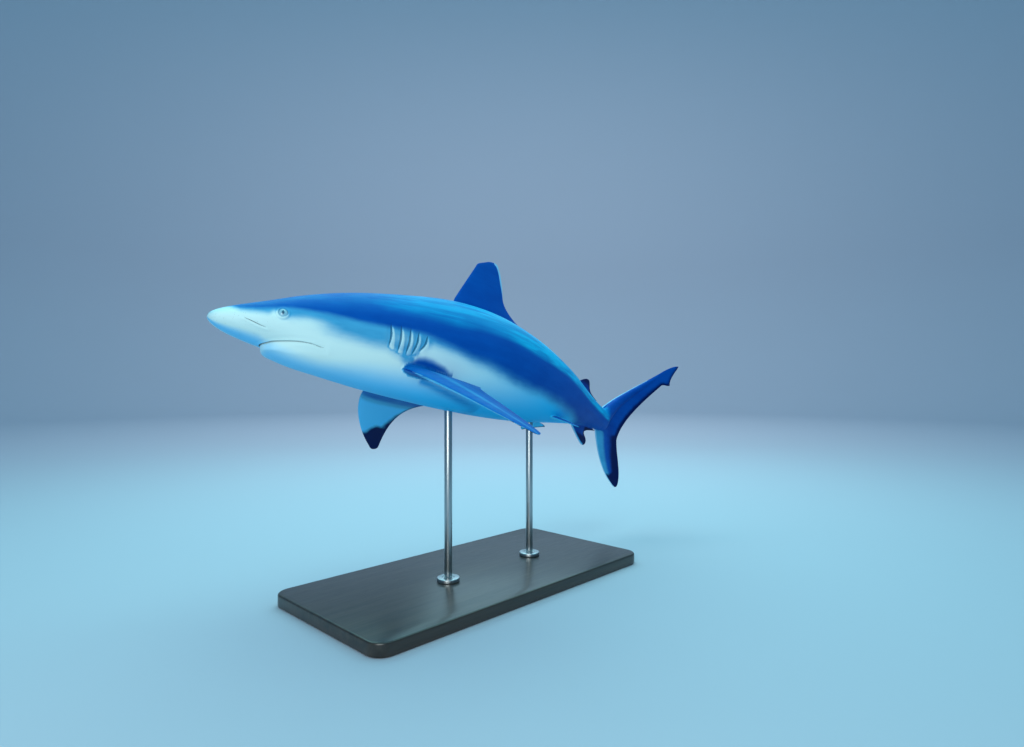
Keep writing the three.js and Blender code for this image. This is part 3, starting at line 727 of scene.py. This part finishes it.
share = 1 - np.abs(np.linspace(-1, 1, len(mouthLine)))
halfWidth, depth = (mix(*mouth[name], share) for name in ("halfWidth", "depth"))
inward = unit(np.array(mouth["lean"]) - surfaceNormals(mouthLine))
cutSlit(mouthLine, inward, halfWidth, depth, ease(share, 0, 0.05))
for side in (1, -1):
    for line in gillLines:
        cutTapered(line[side], unit(-surfaceNormals(line[side]) - rearwards * gills["lean"]), gills)
    cutTapered(nostrilLines[side], -surfaceNormals(nostrilLines[side]), nostril)
    socket, ring, spot = drawnTube("socket", eye["around"], 1)
    angle = 2 * math.pi * spot / eye["around"]
    wide = eye["opening"] * np.array(eye["flare"])[ring]
    deep = np.where(ring == 0, eye["radius"] - eye["socket"], eye["outermost"])
    movePoints(socket, fromEye(side, wide * np.cos(angle), wide * np.sin(angle) * eye["squash"], deep))
    faceOutwards(socket)
    combine(socket, "partCut", "DIFFERENCE")

# Two thin leaves left by a cut can share all their corners: one of them is given a point of its own
corners = {}
for face in skin.data.polygons:
    corners.setdefault(frozenset(face.vertices), []).append(face.index)
twins = {faces[1] for faces in corners.values() if len(faces) > 1}
editChosen(skin, "FACE", lambda face: face.index in twins, bpy.ops.mesh.poke)
print("slits and sockets cut,", len(skin.data.vertices), "points")

# Where the tones change along the body, as [station, height], with the half width of the change in mm.
# Past mid-body the pale border sinks to the belly, as painted shade.
# Lighter spots are [station, height, half length, half height, strength]: before the eye, among the gills,
# behind the eye, and the darker tip. The shade is a painted shadow of the pectoral fin, on the body behind
# and below it; the dark arch above the fin's root is painted shade.
markings = {
    "paleLine": [(0.0022, 0.02), (0.008, 0.0145), (0.014, 0.0135), (0.021, 0.0105), (0.03, 0.0056),
        (0.0393, 0.0036), (0.0488, 0.0026), (0.0566, 0.0012), (0.065, 0.0004), (0.072, -0.0026),
        (0.08, -0.0056), (0.0885, -0.0068), (0.0993, -0.0074), (0.1104, -0.0092), (0.1216, -0.0118),
        (0.1329, -0.0136), (0.1455, -0.0151), (0.1584, -0.0163), (0.1715, -0.0178), (0.1888, -0.0202),
        (0.2038, -0.0258), (0.2125, -0.033), (0.2215, -0.0325), (0.2285, -0.0185), (0.236, -0.012),
        (0.246, -0.0065), (0.2589, -0.0085), (0.2786, -0.0118), (0.2997, -0.0185), (0.3222, -0.0215),
        (0.348, -0.027), (0.377, -0.0308), (0.4113, -0.033), (0.4511, -0.0335), (0.4994, -0.0355),
        (0.53, -0.0375), (0.56, -0.039), (0.61, -0.042), (0.65, -0.042), (0.7, -0.0345), (0.745, -0.035),
        (0.78, -0.026), (1, -0.026)],
    "paleSoftness": [(0.0022, 6), (0.03, 9), (0.055, 9), (0.08, 13), (0.12, 19), (0.2, 13), (0.228, 9),
        (0.25, 14), (0.35, 18), (0.5, 15), (0.7, 10), (1, 8)],
    "darkLine": [(0.0022, 0.024), (0.015, 0.0175), (0.03, 0.0085), (0.0454, 0.008), (0.0566, 0.0093),
        (0.0633, 0.0105), (0.0782, 0.0125), (0.0883, 0.0122), (0.1039, 0.0117), (0.1201, 0.0112),
        (0.1368, 0.0098), (0.154, 0.008), (0.1718, 0.0072), (0.1863, 0.0066), (0.21, 0.0068),
        (0.235, 0.0052), (0.2589, -0.0005), (0.2786, -0.006), (0.2997, -0.0125), (0.3222, -0.016),
        (0.348, -0.0215), (0.377, -0.025), (0.4113, -0.027), (0.4511, -0.0265), (0.4994, -0.0275),
        (0.56, -0.032), (0.61, -0.039), (0.65, -0.0355), (0.7, -0.031), (0.745, -0.03), (0.78, -0.02),
        (1, -0.018)],
    "darkSoftness": [(0.0022, 5), (0.05, 7), (0.1, 7), (0.2, 8), (0.26, 14), (0.36, 20), (0.5, 18),
        (0.7, 11), (1, 9)],
    "lighter": [(0.0632, 0.003, 0.004, 0.008, 0.9), (0.205, -0.006, 0.026, 0.013, 0.8),
        (0.098, -0.002, 0.03, 0.009, 1.05), (0.0, 0.0, 0.0085, 0.02, -0.75)],
    "shade": [(0.24, -0.0495), (0.25, -0.0515), (0.262, -0.0545), (0.3, -0.063), (0.335, -0.069)],
    "shadeWidth": 9,
    "archShade": [(0.2149, -0.0358), (0.2221, -0.0301), (0.2285, -0.0259), (0.2363, -0.0249),
        (0.2467, -0.0263), (0.2629, -0.0323), (0.2715, -0.0385)],
    "archFloor": [(0.212, -0.032), (0.274, -0.039)], "archSoftness": 10, "gillHighlight": 0.9,
    "gillHighlightWidth": (1.5, 10.5),
    "ridgeLine": [(0.1, 0.035), (0.19, 0.023), (0.238, 0.021), (0.279, 0.018), (0.314, 0.0243),
        (0.359, 0.0249), (0.44, 0.0183), (0.516, 0.0148), (0.554, 0.0105), (0.603, 0.004), (0.65, 0.0),
        (0.7, -0.002), (0.75, -0.004)],
    "ridgeSpan": [(0.1, 0.014), (0.19, 0.012), (0.24, 0.028), (0.3, 0.022), (0.36, 0.016), (0.4, 0.01),
        (0.6, 0.008), (0.75, 0.006)],
    "headTopHighlight": 0.24,
    "underShadeFrom": [(0, 0.78), (0.03, 0.7), (0.052, 0.72), (0.06, 0.82), (0.12, 0.74), (0.17, 0.52),
        (0.25, 0.36), (0.5, 0.28)],
    "tailTone": 1.45,
    "tailMargin": [(-0.12, 20), (-0.06, 16), (-0.02, 15), (0.04, 12), (0.1, 8), (0.12, 4)],
    "shadeBelow": -0.03, "shadeDark": 1.2, "shadeBlue": 0.9, "archSpan": (0.2135, 0.276),
    "creaseAngle": 48,
}
toMm = length * 1000
outside = -60.0  # mm, far from the border of a black tip or a pale edge


# The tone of a fin runs from -1, as the belly, through 0, the flank, and 1, the back, to 2, the darkest.
# After it come the mm inside a black tip and inside a pale edge. The pale lines along the leading edges of
# the pectoral fins and the tail fin's lobes are painted highlights.
def finTones(name, fin, x, y, z, station):
    flat = np.stack([x, y], -1)
    front, rear = (nearestOn(fin[edge][::4], flat)[0] * toMm for edge in ("leading", "trailing"))
    chord = front / np.maximum(front + rear, 1)
    if name == "firstDorsal":
        tone = 1.2 - 0.25 * hill(chord - 0.6, 0.25) - 0.35 * ease(y, 0.06, 0.03)
        return tone, outside, np.where(y > 0.1, 6.5 * ease(y, 0.105, 0.14) - rear, outside)
    if name == "secondDorsal":
        return 1.8, np.maximum(10 - rear, (y - 0.048) * toMm) * 0.5, outside
    if name == "anal":
        rim = np.maximum(9 - rear, (-y - 0.05) * toMm)
        return mix(-0.7, 1.5, ease(front, 3, 7)), np.minimum(rim, front - 6), 2 - front
    # the pale lines along the lobes' leading edges are painted highlights
    if name == "upperLobe":
        edge = 2 - 0.8 * ease(station, 0.8, 0.88) - front
        return markings["tailTone"], outside, np.where(station < 0.885, edge, outside)
    if name == "lowerLobe":
        return mix(0.0, 1.2, ease(chord, 0.15, 0.5)), outside, 1.0 - front
    upper = np.clip(z * 1200 + 0.6 * ease(y, 0.03, 0.01), -1, 1)
    if name.startswith("pelvic"):
        return upper, 7 - rear, outside
    tip = (y - 0.123 + 0.021 * ease(chord, 0, 0.6)) * toMm
    rim = np.maximum(2.5 + 11 * ease(y, 0.05, 0.115) - rear, tip) * 0.6
    # on the upper side a painted highlight in a stripe and along the leading edge near the root; on the
    # underside painted shade darkens the root
    highlightStripe = hill(chord - 0.36, 0.12) * ease(y, 0, 0.02)
    above = upper * (1.1 + 0.4 * ease(chord, 0.5, 0.8) - 0.6 * highlightStripe)
    edge = np.where(y > 0.02, -0.2 - 2.2 * ease(y, 0.04, 0.08) - front, outside)
    tone = np.where(z > 0, above, upper + 1.7 * ease(y, 0.055, 0.030))
    return tone, np.where(z > 0, outside, rim), edge


# The body: its two borders, lighter spots, the painted shadow and the painted shade of the arch, and at the
# gills painted highlight bars and painted shade lines
places = pointsOf(skin)
station, up = places[:, 0] / length, places[:, 2] / length
away, low, high = awayFromSeams(skin)


def markingAt(name):
    return lineThrough(markings[name], station)


grey, dark = (np.clip((up - markingAt(tone + "Line")) * toMm / markingAt(tone + "Softness"), -1.2, 1.2)
              for tone in ("pale", "dark"))
for at, level, long, tall, strength in markings["lighter"]:
    grey -= strength * hill(station - at, long) * hill(up - level, tall)
# painted shadow of the pectoral fin on the body below it, which darkens the skin and turns it blue
gap = nearestOn(np.array(markings["shade"]), np.stack([station, up], -1))[0] * toMm
shaded = hill(gap, markings["shadeWidth"]) * (up < markings["shadeBelow"])
dark += markings["shadeDark"] * shaded
# painted shade in a dark arch above the pectoral fin's root
archShade = np.minimum(markingAt("archShade") - up, up - markingAt("archFloor"))
start, end = markings["archSpan"]
archShade = np.where((station > start) & (station < end), archShade * toMm / markings["archSoftness"], -2)
grey, dark = np.maximum(grey, archShade), np.maximum(dark, np.minimum(archShade, 2.2))
# at the gills, painted shade just before each slit and along the fold below their ends, and a painted
# highlight in a bar behind each slit
for side in (1, -1):
    near = (high == 0) & (station > 0.18) & (station < 0.25) & (places[:, 1] * side < 0)
    for line in gillLines:
        behind, share, gap = acrossLine(line[side], places[near], rearwards)
        wide = mix(*markings["gillHighlightWidth"], np.clip(share, 0, 1) ** 0.8)
        highlightBar = ease(behind, -0.2, 1.4) * ease(behind - wide, 1.6, -1.6)
        highlightBar = markings["gillHighlight"] * highlightBar * ease(share, 0.02, 0.3)
        ends = ease(share, 0, 0.12) * beside(gap, behind, 1.2)
        grey[near] += (0.6 * hill(behind + 1.4, 1.8) - highlightBar) * ends
        dark[near] -= highlightBar * ends
    grey[near] += 0.7 * hill(nearestOn(foldLines[side], places[near])[0] * 1000, 1.8)

# A painted highlight along the ridge of the back and on the top of the head, and the painted blue shade of
# the underside
rise = np.sin(angleOf(places))
onBody = (high == 0) * ease(station, 0.765, 0.745)
ridge = ease((up - markingAt("ridgeLine")) / markingAt("ridgeSpan"), 0, 1)
ridge *= ease(station, 0.12, 0.25) * mix(0.7, 1, ease(station, 0.26, 0.36))
ridge *= 1 - 0.3 * ease(rise, 0.75, 1) * ease(station, 0.34, 0.26)
headTopHighlight = markings["headTopHighlight"] * ease(rise, 0.25, 0.8) * ease(station, 0.3, 0.2)
ridge = np.maximum(ridge, headTopHighlight) * onBody
# painted shade: skin that faces down turns blue, and the painted shadow below the pectoral fin adds to it
under = ease(-rise, markingAt("underShadeFrom"), 1.06) * mix(0.85, 1, ease(station, 0.12, 0.3))
under *= 1 - 0.8 * hill(station - 0.0572, 0.006) * (up < -0.0245)  # the front of the chin stays pale
under = np.maximum(under, markings["shadeBlue"] * shaded) * onBody

# The fins, whose tones take over from the body's at the seams
black, pale = np.full((2, len(places)), outside)
for number, name in enumerate(partNames[1:-1], 1):
    mine = high == number
    x, y, z = findOnFin(fins[name], places[mine])
    tone, rim, edge = finTones(name, fins[name], x, y, z, station[mine])
    isPectoral = name.startswith("pectoral")
    share = ease(away[mine], -0.3, 0.4) if isPectoral else ease(away[mine], 0, 1)
    grey[mine] = mix(grey[mine], tone * 2 + 1, share)
    dark[mine] = mix(dark[mine], tone * 2 - 1, share)
    black[mine] = np.where(away[mine] < 0.6, np.minimum(rim, -4), rim)
    pale[mine] = edge
    ridge[mine] *= 1 - share
    under[mine] *= 1 - share
    if isPectoral:
        # painted shade turns the undersides of the pectoral fins blue, and a little painted highlight lies on
        # their upper sides
        under[mine] = np.maximum(under[mine], 0.85 * (z < 0))
        ridge[mine] = np.maximum(ridge[mine], 0.15 * ease(z * 1000, -0.2, 0.8) * share)

# The tones of the tail fin run on over its seams: a pale front to the lower lobe, and one dark hind margin
tail = (station > 0.715) & np.isin(high, (0, partNames.index("upperLobe"), partNames.index("lowerLobe")))
at, level = station[tail], up[tail]
flat = np.stack([at, level], -1)
rim = np.vstack([fins["lowerLobe"]["trailing"][::-1], fins["upperLobe"]["trailing"]])
rear, front = (nearestOn(line[::4], flat)[0] for line in (rim, fins["lowerLobe"]["leading"]))
chord = front / np.maximum(front + rear, 1e-6)
above = ease(level, -0.028, -0.006)
paleTo = 0.32 - 0.14 * ease(-level, 0.03, 0.1)
tone = mix(mix(-0.1, 1.6, ease(chord - paleTo, -0.2, 0.3)), markings["tailTone"], above)
share = np.maximum(ease(at, 0.72, 0.775), ease(level, -0.022, -0.034))
grey[tail] = mix(grey[tail], tone * 2 + 1, share)
dark[tail] = mix(dark[tail], tone * 2 - 1, share)
lower = np.where(at > 0.77, lineThrough(markings["tailMargin"], level) - rear * toMm, outside)
lower = np.maximum(lower, (chord - 0.42) * 60 - ease(level, -0.11, -0.025) * 19 - above * 40)
lower = np.where(lower > 0, lower, lower * 0.6)
black[tail] = np.maximum(lower, (-level - 0.1 + 0.01 * ease(chord, 0.1, 0.6)) * toMm)

# Painted shade in the creases: the walls of the cuts, their lips, the rings of the lids and the line of the
# mouth
crease = np.where(low == len(partNames) - 1, 1.0, 0.45) * (high == len(partNames) - 1)
for side in (1, -1):
    radius, depth = besideEye(places, side)
    lid = (depth > 0) * (high == 0) * (station < 0.12)
    radius = radius - eye["opening"]
    crease = np.maximum(crease, 0.1 * hill(radius, 1.1) * lid)
    grey -= (0.35 * hill(radius - 2.2, 1.3) - 0.3 * hill(radius - 5, 1.8)) * lid
front = (station < 0.12) & (high == 0)
lips = hill(nearestOn(mouthLine, places[front])[0] * 1000, 1.3) * ease(station[front], 0.122, 0.07)
crease[front] = np.maximum(crease[front], 0.6 * lips)
fields = {"grey": grey, "dark": dark, "ridge": ridge, "under": under, "black": black, "pale": pale,
          "crease": crease, "bodyPlace": places}
for name, values in fields.items():
    storeField(skin, name, values)
movePoints(skin, toWorld(places))
workOn(skin)
bpy.ops.object.shade_smooth_by_angle(angle=math.radians(markings["creaseAngle"]))
print("skin marked and bent,", sum(len(p.vertices) - 2 for p in skin.data.polygons), "triangles")


# A material whose colour is painted in layers
class Finish:
    def __init__(self, name, colour):
        self.material = bpy.data.materials.new(name)
        self.material.use_nodes = True
        self.tree = self.material.node_tree
        self.shader = next(node for node in self.tree.nodes if node.type == "BSDF_PRINCIPLED")
        self.colour = colour

    def fill(self, node, entries):
        for key, value in entries.items():
            entry = node.inputs[key]
            if isinstance(value, bpy.types.NodeSocket):
                self.tree.links.new(value, entry)
            else:
                entry.default_value = (*value, 1) if entry.type == "RGBA" else value

    def add(self, kind, entries, **settings):
        made = self.tree.nodes.new(kind)
        for name, value in settings.items():
            setattr(made, name, value)
        self.fill(made, entries)
        return made

    def field(self, name, output="Fac"):
        node = self.add("ShaderNodeAttribute", {}, attribute_name=name, attribute_type="GEOMETRY")
        return node.outputs[output]

    def objectPlace(self):
        return self.add("ShaderNodeTexCoord", {}).outputs["Object"]

    def math(self, operation, *values):
        return self.add("ShaderNodeMath", dict(enumerate(values)), operation=operation).outputs[0]

    def times(self, first, second):
        return self.math("MULTIPLY", first, second)

    def timesPlus(self, first, second, third):
        return self.math("MULTIPLY_ADD", first, second, third)

    def ramp(self, value, low, high):
        entries = {0: value, 1: low, 2: high, 3: 0.0, 4: 1.0}
        return self.add("ShaderNodeMapRange", entries, interpolation_type="SMOOTHSTEP").outputs[0]

    def noise(self, place, scale, detail, roughness, stretch=None):
        if stretch:
            place = self.add("ShaderNodeMapping", {0: place, 3: stretch}, vector_type="POINT").outputs[0]
        entries = {"Vector": place, "Scale": scale, "Detail": detail, "Roughness": roughness}
        return self.add("ShaderNodeTexNoise", entries).outputs[0]

    def cells(self, place, scale, randomness):
        entries = {"Vector": place, "Scale": scale, "Randomness": randomness}
        return self.add("ShaderNodeTexVoronoi", entries, feature="F1").outputs["Distance"]

    def bump(self, height, strength, distance):
        entries = {"Height": height, "Strength": strength, "Distance": distance}
        return self.add("ShaderNodeBump", entries).outputs[0]

    def paint(self, share, colour, mode="MIX"):
        entries = {0: share, 6: self.colour, 7: colour}
        self.colour = self.add("ShaderNodeMix", entries, data_type="RGBA", blend_type=mode).outputs[2]

    def done(self, entries):
        self.fill(self.shader, {"Base Color": self.colour, **entries})
        return self.material


# Noises are scale, detail, roughness and stretch
skinLook = {
    "belly": (0.66, 0.88, 0.88), "bellyShadedBehind": (0.02, 0.58, 1.0), "underside": (0.002, 0.50, 0.98),
    "flank": (0.07, 0.40, 0.68), "back": (0.001, 0.090, 0.430), "ridge": (0.002, 0.530, 0.880),
    "deep": (0.001, 0.036, 0.270), "black": (0.001, 0.008, 0.075), "edge": (0.24, 0.58, 0.85),
    "crease": (0.012, 0.045, 0.085), "shade": (0.42, 0.60, 0.75), "sheen": (0.4, 0.8, 1.0), "roughness": 0.42,
    "wobble": (14.0, 4.0, 0.55, (0.4, 1, 1)), "fine": (110.0, 3.0, 0.6, (0.3, 1, 1)),
    "streaks": (62.0, 4.0, 0.6, (0.07, 1, 1)), "mottle": (30.0, 5.0, 0.6, (0.5, 1, 1)),
    "tips": (55.0, 4.0, 0.6), "grain": (90.0, 5.0, 0.6, (0.3, 1, 1)),
    "pores": (190.0, 0.9), "denticles": (850.0, 1.0),
}
finish = Finish("sharkSkin", skinLook["belly"])
place = finish.field("bodyPlace", "Vector")
wobble, fine, streaks, mottle, tips, grain = (
    finish.noise(place, *skinLook[name]) for name in ("wobble", "fine", "streaks", "mottle", "tips", "grain"))
wobble, fine, tips = (finish.math("SUBTRACT", value, 0.5) for value in (wobble, fine, tips))
wobble = finish.timesPlus(wobble, 1.1, finish.times(fine, 0.4))
back = finish.add("ShaderNodeSeparateXYZ", {0: place}).outputs[0]
grey, dark = (finish.math("ADD", finish.field(name), wobble) for name in ("grey", "dark"))
# painted shade: the belly turns blue towards the tail
finish.paint(finish.ramp(back, 0.33, 0.88), skinLook["bellyShadedBehind"])
# painted shade on skin that faces down and on the undersides of the pectoral fins
finish.paint(finish.field("under"), skinLook["underside"])
finish.paint(finish.ramp(grey, -1.0, 1.0), skinLook["flank"])
finish.paint(finish.ramp(dark, -1.0, 1.0), skinLook["back"])
# painted highlight along the ridge of the back, broken into streaks
streakedHighlight = finish.timesPlus(finish.ramp(streaks, 0.38, 0.62), 0.55, 0.45)
finish.paint(finish.times(streakedHighlight, finish.field("ridge")), skinLook["ridge"])
finish.paint(finish.ramp(dark, 1.2, 3.0), skinLook["deep"])
# long faint streaks along the muscles, and a finer mottle
shade = finish.times(finish.ramp(mottle, 0.35, 0.7), 0.5)
shade = finish.timesPlus(finish.ramp(streaks, 0.3, 0.7), 0.5, shade)
shade = finish.times(shade, finish.ramp(grey, -0.6, 1.0))
finish.paint(finish.times(shade, 0.55), skinLook["shade"], "MULTIPLY")
tips = finish.timesPlus(tips, 6.0, finish.field("black"))
finish.paint(finish.ramp(tips, -6.0, 4.5), skinLook["black"])
finish.paint(finish.ramp(finish.field("pale"), -0.8, 0.6), skinLook["edge"])
# pores of the snout, as small dark dots
pores = finish.ramp(finish.cells(place, *skinLook["pores"]), 0.16, 0.08)
dots = finish.times(pores, finish.ramp(back, 0.12, 0.07))
finish.paint(finish.times(dots, 0.35), skinLook["crease"])
# painted shade in the cuts, the lid rings and the mouth line
finish.paint(finish.field("crease"), skinLook["crease"])
grain = finish.timesPlus(finish.cells(place, *skinLook["denticles"]), 0.35, grain)
grain = finish.timesPlus(dots, -0.5, grain)
skin.data.materials.clear()
skin.data.materials.append(finish.done({
    "Roughness": finish.timesPlus(mottle, 0.16, skinLook["roughness"]), "Specular IOR Level": 0.05,
    "Specular Tint": skinLook["sheen"], "Normal": finish.bump(grain, 0.2, 0.0009)}))
for polygon in skin.data.polygons:
    polygon.material_index = 0
for left in [m for m in bpy.data.materials if m.name.startswith("part") and m.users == 0]:
    bpy.data.materials.remove(left)
hang(skin, "skin", "head", "lower_jaw", "trunk", "tail_stem", "first_dorsal_fin", "second_dorsal_fin",
     "anal_fin", "tail_fin_upper_lobe", "tail_fin_lower_lobe", "pectoral_fin_left", "pectoral_fin_right",
     "pelvic_fin_left", "pelvic_fin_right")

# Eyeballs, seen through the round openings of the lids. Sizes are in mm.
eyeLook = {
    "middle": (0.10, 0.28, 0.40), "ring": (0.34, 0.62, 0.76), "rim": (0.16, 0.37, 0.50),
    "pupil": (0.025, 0.100, 0.170), "streaks": (1.6, 4.0, 0.7), "shade": 0.7, "pupilHalf": (2.0, 4.5),
    "middleRadius": (1.8, 4.3), "ringRadius": (7.2, 8.1), "cornea": [(0.9, 0, 5.5)],
    "segments": 48, "rings": 32,
}
finish = Finish("eyeball", eyeLook["middle"])
place = finish.field("eyePlace", "Vector")
across, upward = finish.add("ShaderNodeSeparateXYZ", {0: place}).outputs[:2]
radius = finish.math("SQRT", finish.timesPlus(across, across, finish.times(upward, upward)))
finish.paint(finish.ramp(radius, *eyeLook["middleRadius"]), eyeLook["ring"])
finish.paint(finish.times(finish.noise(place, *eyeLook["streaks"]), 0.45), eyeLook["middle"])
finish.paint(finish.ramp(radius, *eyeLook["ringRadius"]), eyeLook["rim"])
# painted shade of the upper lid over the top of the eyeball
finish.paint(finish.times(finish.ramp(upward, -0.5, 3.5), eyeLook["shade"]), eyeLook["rim"])
wide, tall = (finish.math("POWER", finish.math("DIVIDE", value, half), 2.0)
              for value, half in zip((across, upward), eyeLook["pupilHalf"]))
finish.paint(finish.ramp(finish.math("ADD", wide, tall), 1.4, 0.6), eyeLook["pupil"])
eyeMaterial = finish.done({"Roughness": 0.25, "Coat Weight": 0.35, "Coat Roughness": 0.04})
for side, name in ((1, "left"), (-1, "right")):
    deselectEverything()
    bpy.ops.mesh.primitive_uv_sphere_add(segments=eyeLook["segments"], ring_count=eyeLook["rings"],
                                         radius=eye["radius"] / 1000)
    ball = bpy.context.object
    ball.name = ball.data.name = "eyeball_" + name
    places = pointsOf(ball) * 1000
    places[:, 2] += ridges(eyeLook["cornea"], np.hypot(places[:, 0], places[:, 1])) * (places[:, 2] > 0)
    storeField(ball, "eyePlace", places)
    movePoints(ball, toWorld(fromEye(side, *places.T)))
    faceOutwards(ball)
    bpy.ops.object.shade_smooth()
    ball.data.materials.append(eyeMaterial)
    hang(ball, "eye", "eye_" + name)
print("eyes made")

# Display stand: a stained board with eased corners, two brushed rods and their collars. An ease is
# its width and steps, a round its sides and radius.
standLook = {
    "corner": 0.036, "cornerSteps": 10, "boardEase": (0.004, 3), "rod": (48, 0.009), "rodEase": (0.0008, 2),
    "collar": (64, 0.026), "collarEase": (0.0016, 3), "inset": 0.0117, "groove": 0.0012,
    "timber": (0.045, 0.030, 0.021), "grain": (0.012, 0.008, 0.006),
    "steel": (0.55, 0.58, 0.60), "steelLines": (0.4125, 0.435, 0.45), "easeAngle": 50, "smoothAngle": 35,
}


def standFinish(name, colour, second, metal, stretch):
    finish = Finish(name, colour)
    place = finish.objectPlace()
    lines = finish.noise(place, 45.0, 6.0, 0.62, stretch)
    fine = finish.noise(place, 420.0, 3.0, 0.6, stretch)
    finish.paint(finish.timesPlus(finish.ramp(lines, 0.32, 0.68), 0.75, finish.times(fine, 0.3)), second)
    return finish.done({"Roughness": finish.timesPlus(fine, 0.2, 0.24), "Metallic": metal,
                        "Coat Weight": 0.35 * (1 - metal), "Coat Roughness": 0.2,
                        "Normal": finish.bump(fine, 0.12, 0.0005)})


def settle(piece, name, node, slot, finish, ease):
    workOn(piece)
    bevel = piece.modifiers.new("ease", "BEVEL")
    bevel.width, bevel.segments = ease
    bevel.limit_method = "ANGLE"
    bevel.angle_limit = math.radians(standLook["easeAngle"])
    bpy.ops.object.modifier_apply(modifier="ease")
    bpy.ops.object.shade_smooth_by_angle(angle=math.radians(standLook["smoothAngle"]))
    piece.name = piece.data.name = name
    piece.data.materials.clear()
    piece.data.materials.append(finish)
    hang(piece, slot, node)


def roundPiece(node, shape):
    low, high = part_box(node)
    deselectEverything()
    bpy.ops.mesh.primitive_cylinder_add(vertices=shape[0], radius=shape[1], depth=high.z - low.z)
    editAll(bpy.context.object, lambda: bpy.ops.transform.translate(value=(low + high) / 2))
    return bpy.context.object


def sinkGroove():  # a shallow step round the rod
    bpy.ops.mesh.inset(thickness=standLook["inset"])
    bpy.ops.mesh.inset(thickness=standLook["groove"], depth=-standLook["groove"])


def shapeBoard():
    bpy.ops.transform.resize(value=high - low, center_override=(0, 0, 0))
    bpy.ops.transform.translate(value=(low + high) / 2)


timber = standFinish("stainedTimber", standLook["timber"], standLook["grain"], 0.0, (0.06, 1, 1))
steel = standFinish("brushedSteel", standLook["steel"], standLook["steelLines"], 1.0, (1, 1, 0.05))
low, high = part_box("stand_base")
deselectEverything()
bpy.ops.mesh.primitive_cube_add(size=1)
board = bpy.context.object
editAll(board, shapeBoard)
editChosen(board, "EDGE", lambda edge: abs(edge.verts[0].co.z - edge.verts[1].co.z) > (high.z - low.z) / 2,
           lambda: bpy.ops.mesh.bevel(offset=standLook["corner"], segments=standLook["cornerSteps"]))
settle(board, "stand_board", "stand_base", "stand_timber", timber, standLook["boardEase"])
for end in ("front", "rear"):
    rod = roundPiece("stand_rod_" + end, standLook["rod"])
    settle(rod, "stand_post_" + end, "stand_rod_" + end, "stand_steel", steel, standLook["rodEase"])
    ring = roundPiece("stand_collar_" + end, standLook["collar"])
    editChosen(ring, "FACE", lambda face: face.normal.z > 0.9, sinkGroove)
    settle(ring, "stand_ring_" + end, "stand_collar_" + end, "stand_steel", steel, standLook["collarEase"])
print("stand made")

# Plain stage: a pale floor that curves up all round
stageLook = {"around": 96, "radius": 7.0, "corner": 2.2, "steps": 10, "wall": 5.0,
             "colour": (0.47, 0.50, 0.58), "second": (0.423, 0.45, 0.522)}


def curveUp():
    bpy.ops.mesh.select_mode(type="EDGE")
    bpy.ops.mesh.region_to_loop()
    reached = stageLook["radius"]
    for k in range(stageLook["steps"]):
        before, after = (math.pi / 2 * (k + j) / stageLook["steps"] for j in (0, 1))
        rise = stageLook["corner"] * (math.cos(before) - math.cos(after))
        wider = reached + stageLook["corner"] * (math.sin(after) - math.sin(before))
        bpy.ops.mesh.extrude_edges_move(TRANSFORM_OT_translate={"value": (0, 0, rise)})
        bpy.ops.transform.resize(value=(wider / reached, wider / reached, 1), center_override=(0, 0, 0))
        reached = wider
    bpy.ops.mesh.extrude_edges_move(TRANSFORM_OT_translate={"value": (0, 0, stageLook["wall"])})


deselectEverything()
bpy.ops.mesh.primitive_circle_add(vertices=stageLook["around"], radius=stageLook["radius"], fill_type="NGON")
floor = bpy.context.object
floor.name = "floor"
editAll(floor, curveUp)
bpy.ops.object.shade_smooth()
finish = Finish("paleFloor", stageLook["colour"])
finish.paint(finish.times(finish.noise(finish.objectPlace(), 1.2, 2.0, 0.5), 0.1), stageLook["second"])
floor.data.materials.append(finish.done({"Roughness": 0.9, "Specular IOR Level": 0.2}))

# Each light: from, towards, its size, power and colour
lights = {
    "top": ((0.55, 0.4, 2.15), (0.25, 0.05, 0.6), (3.4, 2.6), 56, (0.42, 0.96, 0.92)),
    "key": ((-2.05, -1.45, 0.95), (-0.3, 0.0, 0.55), (1.4, 1.4), 31, (0.92, 1.0, 0.96)),
    "rim": ((1.9, 1.6, 1.5), (0.1, 0.0, 0.6), (1.6, 1.0), 6, (0.5, 0.85, 1.0)),
    "wall": ((2.4, 2.2, 4.4), (5.0, 4.8, 0.5), (4.0, 3.0), 150, (0.92, 0.97, 1.0)),
}
for name, (place, towards, size, power, colour) in lights.items():
    turned = (Vector(towards) - Vector(place)).to_track_quat("-Z", "Y").to_euler()
    bpy.ops.object.light_add(type="AREA", location=place, rotation=turned)
    lamp = bpy.context.object
    lamp.name = name
    lamp.data.shape = "RECTANGLE"
    lamp.data.size, lamp.data.size_y = size
    lamp.data.energy = power
    lamp.data.color = colour
worldLook = {"Color": (0.30, 0.74, 1.0, 1), "Strength": 0.74}
world = bpy.data.worlds.new("softLight")
bpy.context.scene.world = world
world.use_nodes = True
for name, value in worldLook.items():
    world.node_tree.nodes["Background"].inputs[name].default_value = value
bpy.context.scene.view_settings.view_transform = "Standard"
print("stage and lights made")
